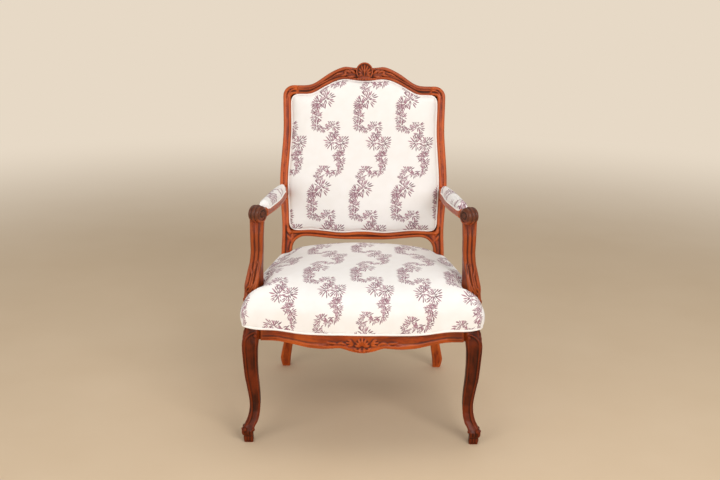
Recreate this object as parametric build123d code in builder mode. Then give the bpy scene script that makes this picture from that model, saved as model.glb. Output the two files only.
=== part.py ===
from build123d import *
import math
import os

os.makedirs("parts", exist_ok=True)

# Fauteuil: an open armchair in the Louis XV manner, with a flat reclined back in a serpentine
# moulded frame, cabriole front legs, scrolled arms and stuffed seat, back and arm pads.
# Millimetres. +X is the right side as seen from the front, the front faces -Y, +Z is up and the
# floor is Z = 0. Right-hand pieces are modelled and the left-hand ones mirror them.

# ---------------------------------------------------------------- seat frame
seat_frame_top = 375.0
rail_height = 62.0
front_half_width = 330.0
front_face_y = -318.0
leg_block = 50.0
leg_chamfer = 9.0
rail_thickness = 30.0
rail_setback = 2.0
rail_bulge = 39.0
rail_straight_end = 90.0
side_rail_bow = 8.0
side_rail_arch = 6.0
side_rail_taper = 2.0
rear_rail_depth = 26.0
rear_rail_setback = 13.0
cover_line = 338.0
knee_cover_line = 352.0
cover_rabbet = 5.0
lip_depth = 3.0
lip_height = 9.0
rail_drop_end = 66.0
rail_drop_mid = 80.0
rail_drop_lobe = 89.0
lobe_half_width = 50.0

# ---------------------------------------------------------------- front legs
knee_out = 4.0
knee_width = 50.0
calf_height = 194.0
calf_width = 35.5
calf_in = 5.0
ankle_height = 112.0
ankle_width = 28.0
ankle_in = 18.5
instep_height = 66.0
toe_height = 36.0
toe_width = 33.0
toe_out = 3.5
foot_block_width = 26.0
foot_block_height = 22.0
toe_roll_radius = 9.5
toe_roll_length = 26.0

# ---------------------------------------------------------------- rear posts and back frame
recline = 11.5
back_seat_y = 211.0
post_width = 34.0
post_depth = 42.0
arm_half_width = 263.0
post_half_width = arm_half_width - 5.0
rear_foot_x = 247.0
rear_foot_y = 283.0
rear_foot_width = 25.0
rear_toe_width = 33.0
rear_toe_height = 32.0
rear_ankle_height = 90.0
rear_leg_width = 30.0
stile_depth = 32.0
stile_face = 24.0
moulding_relief = 4.0
ledge_width = 14.0
ledge_setback = 12.0
ledge_thickness = 14.0
waist_half_width = arm_half_width - 8.0
waist_rise = 103.0
arm_rise = 250.0
mid_half_width = arm_half_width - 10.0
mid_rise = 416.0
ear_half_width = arm_half_width - 8.5
ear_rise = 557.0
ear_radius = 34.0
saddle_half_width = 164.0
hump_rise = 615.0
hump_half_width = 66.0
crest_dip = 3.0
crest_joint = ear_half_width - 45.5
crest_face = 38.0
ear_face = 26.0
lower_rail_face = 24.0
lower_rail_rise = 76.0
lower_rail_wave = 6.0
opening_corner = 12.0
outer_bead = 9.0
inner_bead = 7.0
bead_margin = 1.2
bead_relief = 2.4
bead_round = 1.8
cartouche_width = 53.0
cartouche_height = 56.0
cartouche_proud = 7.0

# ---------------------------------------------------------------- arms
console_y = -190.0
console_setback = 20.5
console_base_width = 45.0
console_base_depth = 48.0
console_waist_width = 35.0
console_waist_in = 10.0
console_waist_y = -168.0
console_top_width = 40.0
console_foot_roll = 9.0
arm_joint_height = 608.0
knuckle_in = 14.0
knuckle_y = -174.0
knuckle_radius = 25.5
knuckle_width = 56.0
knuckle_rise = 23.5
knuckle_groove = 2.5
arm_rear_in = 12.0
arm_rear_height = 590.0
arm_rear_depth = 38.0
arm_rear_width = 24.0
arm_mid_in = 29.5
arm_mid_y = 60.0
arm_mid_width = 34.0
arm_mid_depth = 30.0
arm_front_in = 12.5
arm_front_width = 36.0
pad_front_y = -128.0
pad_rear_y = 214.0
pad_front_drop = 0.5
pad_rear_rise = 14.0
pad_width = 42.0
pad_crown = 26.0

# ---------------------------------------------------------------- upholstery
seat_crown = 468.0
seat_roll = 5.0
cover_thickness = 4.5
back_cover_thickness = 2.0
piping_radius = 3.0
arm_piping_radius = 2.2
back_crown = 24.0
webbing_width = 50.0
webbing_thickness = 1.2
hessian_thickness = 0.8
back_strap_count = 5
strap_count = 5

# ---------------------------------------------------------------- joinery
tenon_length = 20.0
tenon_thickness = 10.0
tenon_shoulder_top = 12.0
tenon_shoulder_low = 8.0
console_tenon_width = 10.0
console_tenon_depth = 22.0
joint_clearance = 0.2
soft_clearance = 0.4
peg_radius = 3.0
peg_length = 26.0
back_peg_length = 22.0
screw_radius = 2.2
screw_head_radius = 4.5
screw_head_depth = 3.0
screw_bite = 10.0
corner_block_height = 40.0
corner_block_drop = 6.0
corner_block_reach = 75.0

# ---------------------------------------------------------------- places worked out from them
lean = math.radians(recline)
BACK = Plane(origin=(0, back_seat_y, seat_frame_top), x_dir=(1, 0, 0),
             z_dir=(0, -math.cos(lean), math.sin(lean)))
GROUND = BACK.offset(-moulding_relief)
leg_inner_x = front_half_width - leg_block
leg_back_y = front_face_y + leg_block
rail_face_y = front_face_y + rail_setback
rail_inner_y = rail_face_y + rail_thickness
rail_bottom = seat_frame_top - rail_height
post_inner_x = post_half_width - post_width
post_rear_y = back_seat_y + post_depth
side_front_x = front_half_width - 4
side_rear_x = post_half_width - 3
side_inner_front_x = side_front_x - rail_thickness
side_inner_rear_x = side_rear_x - rail_thickness + side_rail_taper
rear_rail_y = back_seat_y + rear_rail_setback
rear_rail_back_y = rear_rail_y + rear_rail_depth
tenon_low = rail_bottom + tenon_shoulder_low
tenon_top = seat_frame_top - tenon_shoulder_top
front_tenon_y = (rail_face_y + rail_inner_y) / 2 + 3
side_tenon_front_x = (side_front_x + side_inner_front_x) / 2
side_tenon_rear_x = (side_rear_x + side_inner_rear_x) / 2
rear_tenon_y = rear_rail_y + rear_rail_depth * 0.6
rear_tenon_length = tenon_length - 4
opening_low = lower_rail_rise + lower_rail_face
crest_tenon_rise = ear_rise - ear_face / 2
lower_tenon_rise = lower_rail_rise + lower_rail_face / 2
arm_seat_rise = (arm_rear_height - seat_frame_top) / math.cos(lean)
side_slope = (side_inner_rear_x - side_inner_front_x) / (back_seat_y - leg_back_y)
crest_low = ear_rise - ear_face - ear_radius
console_base_x = front_half_width - console_setback
console_waist_x = console_base_x - console_waist_in
knuckle_x = console_base_x - knuckle_in
knuckle_height = arm_joint_height + knuckle_rise
arm_front_x = knuckle_x - arm_front_in
arm_mid_x = knuckle_x - arm_mid_in
arm_rear_x = arm_half_width - arm_rear_in
pad_front_height = knuckle_height - pad_front_drop
pad_rear_height = arm_rear_height + pad_rear_rise
far = 600.0
LOW = (Align.CENTER, Align.CENTER, Align.MIN)


def side_inner_x(y):
    """The straight inner face of the side rail at a depth y."""
    return side_inner_front_x + side_slope * (y - leg_back_y)


def save(piece, name):
    """Label a finished piece and write it as its own STEP file."""
    piece.part.label = name
    export_step(piece.part, f"parts/{name}.step")


def save_pair(right, name):
    """Write a right-hand piece and the left-hand one that mirrors it."""
    save(right, f"{name}_right")
    with BuildPart() as left:
        mirror(right.part, about=Plane.YZ)
    save(left, f"{name}_left")


def block(low, high, mode=Mode.ADD, frame=Plane.XY):
    """A box between two opposite corners, given in a frame."""
    middle = Vector(*[(a + b) / 2 for a, b in zip(low, high)])
    with Locations(frame.location * Location(middle)):
        Box(high[0] - low[0], high[1] - low[1], high[2] - low[2], mode=mode)


def tenon(low, high, frame=Plane.XY):
    """A tenon between two opposite corners."""
    block(low, high, frame=frame)


def mortise(low, high, frame=Plane.XY):
    """The mortise for a tenon given by the same corners, larger by the joint clearance."""
    grown_low = [a - joint_clearance for a in low]
    grown_high = [b + joint_clearance for b in high]
    block(grown_low, grown_high, Mode.SUBTRACT, frame)


def rod(start, way, radius, length, mode=Mode.ADD):
    """A round rod or hole from a point along a direction."""
    with Locations(Plane(origin=start, z_dir=way)):
        Cylinder(radius, length, align=LOW, mode=mode)


def limb_lines(x, y, width, depth, share):
    """A limb's section: a rectangle with its corners taken off by a share of its width."""
    wide, deep, corner = width / 2, depth / 2, width * share
    Polyline((x - wide + corner, y - deep), (x + wide - corner, y - deep), (x + wide, y - deep + corner),
             (x + wide, y + deep - corner), (x + wide - corner, y + deep), (x - wide + corner, y + deep),
             (x - wide, y + deep - corner), (x - wide, y - deep + corner), close=True)


def back_point(across, rise, proud=0.0):
    """A point given on the reclined plane of the back."""
    return BACK.from_local_coords(Vector(across, rise, proud))


def eased(stations, steps):
    """The stations of a limb with more in between, on a smooth curve through the given ones."""
    rows = []
    last = len(stations) - 1
    for turn in range(last):
        a, b = stations[turn], stations[turn + 1]
        before, after = stations[max(turn - 1, 0)], stations[min(turn + 2, last)]
        run = b[0] - a[0]
        for step in range(steps):
            t = step / steps
            row = [a[0] + run * t]
            for p, u, v, q in zip(before[1:], a[1:], b[1:], after[1:]):
                leave = (v - p) / (b[0] - before[0]) * run
                arrive = (q - u) / (after[0] - a[0]) * run
                row.append(u * (1 + 2 * t) * (1 - t) ** 2 + leave * t * (1 - t) ** 2
                           + v * t * t * (3 - 2 * t) - arrive * t * t * (1 - t))
            rows.append(row)
    return rows + [list(stations[last])]


# ---------------------------------------------------------------- tenons, pegs and screws
front_tenon = ((leg_inner_x, front_tenon_y - tenon_thickness / 2, tenon_low),
               (leg_inner_x + tenon_length, front_tenon_y + tenon_thickness / 2, tenon_top))
side_front_tenon = ((side_tenon_front_x - tenon_thickness / 2, leg_back_y - tenon_length, tenon_low),
                    (side_tenon_front_x + tenon_thickness / 2, leg_back_y, tenon_top))
side_rear_tenon = ((side_tenon_rear_x - tenon_thickness / 2, back_seat_y, tenon_low),
                   (side_tenon_rear_x + tenon_thickness / 2, back_seat_y + tenon_length, tenon_top))
rear_tenon = ((post_inner_x, rear_tenon_y - tenon_thickness / 2, tenon_low),
              (post_inner_x + rear_tenon_length, rear_tenon_y + tenon_thickness / 2, tenon_top))
tenon_deep = (-stile_depth / 2 - tenon_thickness / 2, -stile_depth / 2 + tenon_thickness / 2)
crest_tenon = ((crest_joint, crest_tenon_rise - 7, tenon_deep[0]),
               (crest_joint + tenon_length, crest_tenon_rise + 7, tenon_deep[1]))
lower_tenon = ((post_inner_x, lower_tenon_rise - 7, tenon_deep[0]),
               (post_inner_x + tenon_length, lower_tenon_rise + 7, tenon_deep[1]))
arm_tenon = ((arm_rear_x - tenon_thickness / 2, arm_seat_rise - 11, -moulding_relief - tenon_length),
             (arm_rear_x + tenon_thickness / 2, arm_seat_rise + 11, -moulding_relief))
console_tenon_x = side_inner_x(console_y) + rail_thickness / 2
console_tenon = ((console_tenon_x - console_tenon_width / 2, console_y - console_tenon_depth / 2,
                  seat_frame_top - tenon_length),
                 (console_tenon_x + console_tenon_width / 2, console_y + console_tenon_depth / 2,
                  seat_frame_top))
peg_height = seat_frame_top - 24
seat_pegs = [
    ((leg_inner_x + 9, rail_inner_y + 18, peg_height), (0, -1, 0)),
    ((side_inner_front_x - 16, leg_back_y - 9, peg_height - 12), (1, 0, 0)),
    ((post_inner_x, back_seat_y + 9, peg_height), (1, 0, 0)),
    ((post_inner_x + 8, post_rear_y, peg_height - 12), (0, -1, 0)),
    ((side_inner_x(console_y), console_y, seat_frame_top - 9), (1, 0, 0)),
]
forward = BACK.z_dir
back_pegs = [
    (back_point(post_inner_x + 9, lower_tenon_rise, -stile_depth), forward),
    (back_point(crest_joint + 9, crest_tenon_rise, -stile_depth), forward),
    (back_point(arm_rear_x - tenon_thickness / 2 - 8, arm_seat_rise,
                -moulding_relief - tenon_length / 2), (1, 0, 0)),
]
PEG_RUNS = [(start, way, peg_length) for start, way in seat_pegs]
PEG_RUNS += [(start, way, back_peg_length) for start, way in back_pegs]

with BuildPart() as peg_holes:
    for start, way, length in PEG_RUNS:
        with BuildSketch(Plane(origin=start, z_dir=way)):
            RegularPolygon(peg_radius + joint_clearance, 8)
        extrude(amount=length)

front_block_corner = (leg_inner_x - corner_block_reach, rail_inner_y)
front_block_side_y = leg_back_y + corner_block_reach
rear_block_corner = (post_inner_x - corner_block_reach + 12, rear_rail_y)
rear_block_side_y = back_seat_y - corner_block_reach + 6
screw_height = peg_height - 6


def screw_line(inner_corner, outer_corner, target):
    """Start, direction and length of a corner block's screw, square through its open side."""
    start = Vector((inner_corner[0] + outer_corner[0]) / 2, (inner_corner[1] + outer_corner[1]) / 2,
                   screw_height)
    run = Vector(target[0], target[1], screw_height) - start
    return start, run.normalized(), run.length + screw_bite


screw_runs = [
    screw_line(front_block_corner, (side_inner_x(front_block_side_y), front_block_side_y),
               (leg_inner_x, leg_back_y)),
    screw_line(rear_block_corner, (side_inner_x(rear_block_side_y), rear_block_side_y),
               (post_inner_x, back_seat_y)),
]

with BuildPart() as screw_holes:
    for start, way, length in screw_runs:
        with BuildSketch(Plane(origin=start - way, z_dir=way)):
            RegularPolygon(screw_radius + joint_clearance, 8, major_radius=False)
        extrude(amount=length + 1)


# ---------------------------------------------------------------- front legs
def leg_lines(x, y, width):
    """A leg's section: square, with its corners taken off and hollowed front and outer faces."""
    half = width / 2
    flat = half - width * 0.14
    hollow = half - width * 0.06
    Polyline((x - flat, y - half), (x - half, y - flat), (x - half, y + flat), (x - flat, y + half),
             (x + flat, y + half), (x + half, y + flat))
    ThreePointArc((x + half, y + flat), (x + hollow, y), (x + half, y - flat))
    Line((x + half, y - flat), (x + flat, y - half))
    ThreePointArc((x + flat, y - half), (x, y - hollow), (x - flat, y - half))


leg_stations = [
    (foot_block_height, toe_out - 1, toe_width - 3),
    (toe_height, toe_out, toe_width),
    (instep_height, -ankle_in + 4, ankle_width + 1),
    (ankle_height, -ankle_in, ankle_width),
    (calf_height, -calf_in, calf_width),
    ((calf_height + knee_cover_line) / 2, knee_out - 1, (calf_width + knee_width) / 2),
    (knee_cover_line - 32, knee_out, knee_width),
    (knee_cover_line, 0, knee_width - 4),
]
block_side_x = front_half_width - cover_rabbet
block_front_y = front_face_y + cover_rabbet + 1
foot_x = front_half_width + toe_out - toe_width / 2
foot_y = front_face_y - toe_out + toe_width / 2
toe_x = foot_x + 1 - toe_roll_length * 0.354
toe_y = foot_y - 1 - toe_roll_length * 0.354

with BuildPart() as leg_front_right:
    for height, reach, width in eased(leg_stations, 2):
        with BuildSketch(Plane.XY.offset(height)):
            with BuildLine():
                leg_lines(front_half_width + reach - width / 2,
                          front_face_y - reach + width / 2, width)
            make_face()
    loft(ruled=True)
    with BuildSketch(Plane.XY.offset(rail_bottom - 8)):
        with BuildLine():
            Polyline((leg_inner_x, leg_back_y), (leg_inner_x, block_front_y),
                     (block_side_x - leg_chamfer, block_front_y),
                     (block_side_x, block_front_y + leg_chamfer), (block_side_x, leg_back_y), close=True)
        make_face()
    extrude(amount=seat_frame_top - rail_bottom + 8)
    with BuildSketch(Plane.XY):
        with Locations((foot_x - 1, foot_y + 1)):
            RectangleRounded(foot_block_width, foot_block_width, 4)
    extrude(amount=foot_block_height + 2)
    rod((toe_x, toe_y, toe_height - 6), (1, 1, 0), toe_roll_radius, toe_roll_length)
    mortise(*front_tenon)
    mortise(*side_front_tenon)
    add(peg_holes.part, mode=Mode.SUBTRACT)
    add(screw_holes.part, mode=Mode.SUBTRACT)


# ---------------------------------------------------------------- front seat rail
def front_curve(end_y, bulge):
    """A serpentine curve from the leg to the middle, level at both ends."""
    near = leg_inner_x - rail_straight_end
    Spline((leg_inner_x, end_y), (near, end_y - bulge * 0.16), (near / 2, end_y - bulge * 0.7),
           (0, end_y - bulge), tangents=[(-1, 0), (-1, 0)])


def front_rail_plan(setback):
    """The front rail's plan, right half, its front curve moved back by setback."""
    near = leg_inner_x - rail_straight_end
    inner_bulge = rail_bulge * 0.8
    front_curve(rail_face_y + setback, rail_bulge)
    Line((leg_inner_x, rail_face_y + setback), (leg_inner_x, rail_inner_y))
    Line((leg_inner_x, rail_inner_y), (near, rail_inner_y))
    Spline((near, rail_inner_y), (near / 2, rail_inner_y - inner_bulge * 0.7),
           (0, rail_inner_y - inner_bulge), tangents=[(-1, 0), (-1, 0)])
    Line((0, rail_inner_y - inner_bulge), (0, rail_face_y - rail_bulge + setback))


def front_rail_lower(raise_by=0.0):
    """The points of the front rail's shaped lower edge, from the leg to the middle lobe."""
    end = seat_frame_top - rail_drop_end + raise_by
    mid = seat_frame_top - rail_drop_mid + raise_by
    lobe = seat_frame_top - rail_drop_lobe + raise_by
    return [(leg_inner_x, end), (leg_inner_x - rail_straight_end * 0.6, end - 1),
            (leg_inner_x / 2, mid + 2), (lobe_half_width * 1.5, mid), (lobe_half_width, mid - 1),
            (lobe_half_width * 0.5, (mid + lobe) / 2 - 1), (0, lobe)]


level = [(-1, 0), (-1, 0)]
rail_lowest = seat_frame_top - rail_drop_lobe - 5

with BuildPart() as front_lip:
    with BuildSketch(Plane.XY.offset(rail_lowest)):
        with BuildLine():
            front_rail_plan(-lip_depth)
        make_face()
    extrude(amount=rail_height)
    with BuildSketch(Plane.XZ):
        with BuildLine():
            Spline(*front_rail_lower(), tangents=level)
            Spline(*front_rail_lower(lip_height), tangents=level)
            Line(front_rail_lower()[0], front_rail_lower(lip_height)[0])
            Line(front_rail_lower()[-1], front_rail_lower(lip_height)[-1])
        make_face()
    extrude(amount=far, both=True, mode=Mode.INTERSECT)

with BuildPart() as front_rail_half:
    with BuildSketch(Plane.XY.offset(rail_lowest)):
        with BuildLine():
            front_rail_plan(0)
        make_face()
    extrude(amount=cover_line - rail_lowest)
    with BuildSketch(Plane.XY.offset(cover_line)):
        with BuildLine():
            front_rail_plan(cover_rabbet)
        make_face()
    extrude(amount=seat_frame_top - cover_line)
    with BuildSketch(Plane.XZ):
        with BuildLine():
            Spline(*front_rail_lower(), tangents=level)
            Polyline(front_rail_lower()[0], (leg_inner_x, far), (0, far), front_rail_lower()[-1])
        make_face()
    extrude(amount=far, both=True, mode=Mode.INTERSECT)
    add(front_lip.part)
    tenon(*front_tenon)
    add(peg_holes.part, mode=Mode.SUBTRACT)

with BuildPart() as rail_seat_front:
    add(front_rail_half.part)
    mirror(about=Plane.YZ)


# ---------------------------------------------------------------- side and rear seat rails
def side_rail_plan(outset):
    """The side rail's plan: straight inside, slightly bowed outside."""
    bow_x = (side_front_x + side_rear_x) / 2 + side_rail_bow + outset
    bow_y = (leg_back_y + back_seat_y) / 2
    front_outer = (side_front_x + outset, leg_back_y)
    rear_outer = (side_rear_x + outset, back_seat_y)
    ThreePointArc(front_outer, (bow_x, bow_y), rear_outer)
    Polyline(rear_outer, (side_inner_rear_x, back_seat_y), (side_inner_front_x, leg_back_y), front_outer)


def side_rail_lower(raise_by=0.0):
    """The gently arched lower edge of the side rail."""
    middle = (leg_back_y + back_seat_y) / 2
    ThreePointArc((leg_back_y, rail_bottom + raise_by), (middle, rail_bottom + side_rail_arch + raise_by),
                  (back_seat_y, rail_bottom + raise_by))


with BuildPart() as side_lip:
    with BuildSketch(Plane.XY.offset(rail_bottom)):
        with BuildLine():
            side_rail_plan(lip_depth)
        make_face()
    extrude(amount=rail_height / 2)
    with BuildSketch(Plane.YZ):
        with BuildLine():
            side_rail_lower()
            side_rail_lower(lip_height)
            Line((leg_back_y, rail_bottom), (leg_back_y, rail_bottom + lip_height))
            Line((back_seat_y, rail_bottom), (back_seat_y, rail_bottom + lip_height))
        make_face()
    extrude(amount=far, both=True, mode=Mode.INTERSECT)

with BuildPart() as rail_seat_side:
    with BuildSketch(Plane.XY.offset(rail_bottom)):
        with BuildLine():
            side_rail_plan(0)
        make_face()
    extrude(amount=cover_line - rail_bottom)
    with BuildSketch(Plane.XY.offset(cover_line)):
        with BuildLine():
            side_rail_plan(-cover_rabbet)
        make_face()
    extrude(amount=seat_frame_top - cover_line)
    with BuildSketch(Plane.YZ):
        with BuildLine():
            side_rail_lower()
            Polyline((leg_back_y, rail_bottom), (leg_back_y, far), (back_seat_y, far),
                     (back_seat_y, rail_bottom))
        make_face()
    extrude(amount=far, both=True, mode=Mode.INTERSECT)
    add(side_lip.part)
    tenon(*side_front_tenon)
    tenon(*side_rear_tenon)
    mortise(*console_tenon)
    add(peg_holes.part, mode=Mode.SUBTRACT)

with BuildPart() as rear_rail_half:
    block((0, rear_rail_y, rail_bottom), (post_inner_x, rear_rail_back_y, seat_frame_top))
    tenon(*rear_tenon)
    add(peg_holes.part, mode=Mode.SUBTRACT)

with BuildPart() as rail_seat_rear:
    add(rear_rail_half.part)
    mirror(about=Plane.YZ)


# ---------------------------------------------------------------- back frame
side_opening_x = ear_half_width - stile_face
opening_middle = (hump_rise + lower_rail_rise) / 2
opening_half_height = (hump_rise - crest_face - opening_low) / 2
rise_point = ((saddle_half_width + hump_half_width) / 2, (ear_rise + hump_rise) / 2 + 6)


def inward(points, inset, tangents):
    """The points of a run, each moved to its left by inset, square to the run."""
    ways = [tangents[0]] + [(b[0] - a[0], b[1] - a[1]) for a, b in zip(points, points[2:])]
    ways.append(tangents[1])
    return [(x - inset * way[1] / math.hypot(*way), y + inset * way[0] / math.hypot(*way))
            for (x, y), way in zip(points, ways)]


def outer_edge(inset=0.0):
    """The back frame's outer edge: from the seat up the stile, round the ear and over the crest."""
    turn = ear_radius * 0.29
    points = [(post_half_width, 0), (waist_half_width, waist_rise), (arm_half_width, arm_rise),
              (mid_half_width, mid_rise), (ear_half_width, ear_rise - ear_radius),
              (ear_half_width - turn, ear_rise - turn), (ear_half_width - ear_radius, ear_rise),
              (saddle_half_width, ear_rise + 4), rise_point, (hump_half_width, hump_rise),
              (0, hump_rise - crest_dip)]
    points = inward(points, inset, [(0, 1), (-1, 0)])
    Spline(*points[:5], tangents=[(0, 1), (0, 1)])
    ThreePointArc(*points[4:7])
    Spline(*points[6:], tangents=[(-1, 0), (-1, 0)])
    return points[0], points[-1]


def opening_runs(inset=0.0):
    """The opening's right half: its top, upper corner, side, lower corner and bottom."""
    corner = opening_corner
    turn = corner * 0.29
    top = ear_rise - ear_face - 2
    low_x = waist_half_width - stile_face + 3
    runs = [
        [(0, hump_rise - crest_dip - crest_face - 2), (hump_half_width + 4, hump_rise - crest_face),
         (rise_point[0] + 3, rise_point[1] - crest_face * 0.9), (saddle_half_width - 4, top + 5),
         (side_opening_x - corner, top)],
        [(side_opening_x - turn, top - turn)],
        [(side_opening_x, top - corner), (mid_half_width - stile_face, mid_rise),
         (arm_half_width - stile_face, arm_rise), (low_x, opening_low + corner)],
        [(low_x - turn, opening_low + turn)],
        [(low_x - corner, opening_low), (saddle_half_width, opening_low + 2),
         (hump_half_width, opening_low - lower_rail_wave), (0, opening_low - lower_rail_wave / 3)],
    ]
    wide = (side_opening_x - inset) / side_opening_x
    tall = (opening_half_height - inset) / opening_half_height
    return [[(x * wide, opening_middle + (y - opening_middle) * tall) for x, y in run] for run in runs]


def opening_lines(inset=0.0):
    """The opening's edge and its centre line, right half."""
    over, upper_turn, side, lower_turn, under = opening_runs(inset)
    Spline(*over, tangents=[(1, 0), (1, 0)])
    ThreePointArc(over[-1], upper_turn[0], side[0])
    Spline(*side, tangents=[(0, -1), (0, -1)])
    ThreePointArc(side[-1], lower_turn[0], under[0])
    Spline(*under, tangents=[(-1, 0), (-1, 0)])
    Line(under[-1], over[0])


def opening_face(inset=0.0):
    """The whole opening for the upholstery, its edge moved inwards by inset."""
    with BuildSketch() as face:
        with BuildLine():
            opening_lines(inset)
        make_face()
        mirror(about=Plane.YZ)
    return face.sketch


def lower_edge(inset=0.0):
    """The lower edge of the lower back rail, turning down into the post."""
    points = [(0, lower_rail_rise - 2), (hump_half_width, lower_rail_rise - 2),
              (saddle_half_width, lower_rail_rise + 6), (post_inner_x - 26, lower_rail_rise + 3),
              (post_inner_x - 5, lower_rail_rise - 16), (post_inner_x, lower_rail_rise - 42)]
    points = inward(points, inset, [(1, 0), (0, -1)])
    Spline(*points, tangents=[(1, 0), (0, -1)])
    return points[0], points[-1]


bead_steps = [(0.0, bead_relief), (bead_round, moulding_relief - bead_relief)]

with BuildPart() as back_beads:
    level_up = -moulding_relief
    for step_in, step_up in bead_steps:
        with BuildSketch(BACK.offset(level_up)):
            for edge, bead in ((outer_edge, outer_bead), (lower_edge, inner_bead)):
                with BuildLine():
                    ends = edge(bead_margin + step_in)
                    far_ends = edge(bead_margin + bead - step_in)
                    Line(ends[0], far_ends[0])
                    Line(ends[1], far_ends[1])
                make_face()
            with BuildLine():
                opening_lines(-bead_margin - inner_bead + step_in)
            make_face()
            with BuildLine():
                opening_lines(-bead_margin - step_in)
            make_face(mode=Mode.SUBTRACT)
        extrude(amount=step_up)
        level_up += step_up

with BuildPart() as half_frame:
    with BuildSketch(GROUND):
        with BuildLine():
            outer_edge()
            lower_edge()
            Polyline((post_half_width, 0), (post_inner_x, 0), (post_inner_x, lower_rail_rise - 42))
            Line((0, lower_rail_rise - 2), (0, hump_rise - crest_dip))
        make_face()
        with BuildLine():
            opening_lines()
        make_face(mode=Mode.SUBTRACT)
    extrude(amount=moulding_relief - stile_depth)
    with BuildSketch(BACK.offset(-ledge_setback)):
        with BuildLine():
            opening_lines(-4)
        make_face()
        with BuildLine():
            opening_lines(ledge_width)
        make_face(mode=Mode.SUBTRACT)
    extrude(amount=-ledge_thickness)
    add(back_beads.part)

lower_rail_top = opening_low + ledge_width + 8
lower_rail_low = lower_rail_rise - 26
arm_seat = ((arm_half_width - stile_face - 6, arm_seat_rise - arm_rear_depth / 2 - 2, -moulding_relief),
            (arm_half_width + 10, arm_seat_rise + arm_rear_depth / 2 + 3, 10))

post_stations = [
    (0, rear_foot_x, rear_foot_y, rear_foot_width, rear_foot_width),
    (rear_toe_height, rear_foot_x + 2, rear_foot_y - 6, rear_toe_width, rear_toe_width),
    (rear_ankle_height, rear_foot_x - 8, rear_foot_y - 24, rear_leg_width, rear_leg_width + 2),
    (rail_bottom * 0.64, rear_foot_x - 10, back_seat_y + 26, rear_leg_width + 1, post_depth - 6),
    (rail_bottom - 6, post_half_width - post_width / 2, back_seat_y + post_depth / 2, post_width,
     post_depth),
]
heel_rise = (post_depth - stile_depth) / math.tan(lean)

with BuildPart() as post_rear_right:
    for height, x, y, width, depth in eased(post_stations, 2):
        with BuildSketch(Plane.XY.offset(height)):
            with BuildLine():
                limb_lines(x, y, width, depth, 0.12)
            make_face()
    loft(ruled=True)
    block((post_inner_x, back_seat_y, rail_bottom - 8), (post_half_width, post_rear_y, seat_frame_top))
    with BuildSketch(Plane.YZ.offset(post_inner_x)):
        with BuildLine():
            Polyline((back_seat_y + 6, seat_frame_top), (post_rear_y, seat_frame_top),
                     (post_rear_y, seat_frame_top + heel_rise),
                     (back_seat_y + 6 + heel_rise * math.tan(lean), seat_frame_top + heel_rise),
                     close=True)
        make_face()
    extrude(amount=post_width - 1)
    add(half_frame.part)
    block((-1, lower_rail_low, -far), (post_inner_x, lower_rail_top, far), Mode.SUBTRACT, BACK)
    block((-1, crest_low, -far), (crest_joint, far * 2, far), Mode.SUBTRACT, BACK)
    block(*arm_seat, Mode.SUBTRACT, BACK)
    mortise(*side_rear_tenon)
    mortise(*rear_tenon)
    mortise(*crest_tenon, BACK)
    mortise(*lower_tenon, BACK)
    mortise(*arm_tenon, BACK)
    add(peg_holes.part, mode=Mode.SUBTRACT)
    add(screw_holes.part, mode=Mode.SUBTRACT)

cartouche_middle = hump_rise + 13 - cartouche_height / 2
cartouche_base = 4.0
with BuildPart() as rail_back_crest:
    add(half_frame.part)
    block((-1, crest_low, -far), (crest_joint, far * 2, far), Mode.INTERSECT, BACK)
    tenon(*crest_tenon, BACK)
    add(peg_holes.part, mode=Mode.SUBTRACT)
    mirror(about=Plane.YZ)
    with BuildSketch(BACK.offset(cartouche_base - stile_depth)):
        with Locations((0, cartouche_middle)):
            Ellipse(cartouche_width / 2, cartouche_height / 2)
    extrude(amount=stile_depth - cartouche_base + cartouche_proud / 2)
    with BuildSketch(BACK.offset(cartouche_proud / 2)):
        with Locations((0, cartouche_middle)):
            Ellipse(cartouche_width / 2 - 4, cartouche_height / 2 - 4)
    extrude(amount=cartouche_proud / 2)

with BuildPart() as rail_back_lower:
    add(half_frame.part)
    block((-1, lower_rail_low, -far), (post_inner_x, lower_rail_top, far), Mode.INTERSECT, BACK)
    tenon(*lower_tenon, BACK)
    add(peg_holes.part, mode=Mode.SUBTRACT)
    mirror(about=Plane.YZ)


# ---------------------------------------------------------------- arm supports and arms
def reeded_lines(x, y, width, depth):
    """An arm support's section: square behind, with three reeds on its front face."""
    reed = width / 3
    left, right = x - width / 2, x + width / 2
    front, rear = y - depth / 2, y + depth / 2
    Polyline((left, front), (left, rear), (right, rear), (right, front))
    for turn in range(3):
        start = right - reed * turn
        Polyline((start, front), (start - reed * 0.25, front - reed * 0.28),
                 (start - reed * 0.75, front - reed * 0.28), (start - reed, front))


console_rise = arm_joint_height - seat_frame_top
console_stations = [
    (0.0, console_base_x, console_y, console_base_width, console_base_depth),
    (0.2, console_base_x - 4, console_y + 7, console_base_width - 4, console_base_depth - 6),
    (0.5, console_waist_x, console_waist_y - 2, console_waist_width, console_waist_width + 1),
    (0.8, console_waist_x, console_waist_y, console_waist_width + 1, console_waist_width),
    (1.0, knuckle_x + 3, knuckle_y + 2, console_top_width, console_top_width),
]

with BuildPart() as arm_support_right:
    for share, x, y, width, depth in eased(console_stations, 2):
        with BuildSketch(Plane.XY.offset(seat_frame_top + console_rise * share)):
            with BuildLine():
                reeded_lines(x, y, width, depth)
            make_face()
    loft(ruled=True)
    rod((console_base_x + console_base_width / 2 - console_foot_roll + 2,
         console_y - console_base_depth / 2 + 3, seat_frame_top + console_foot_roll),
        (0, 1, 0), console_foot_roll, console_base_depth - 6)
    tenon(*console_tenon)
    rod((knuckle_x + 3, knuckle_y + 2, arm_joint_height), (0, 0, 1), peg_radius * 2, 14)
    add(peg_holes.part, mode=Mode.SUBTRACT)

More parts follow.
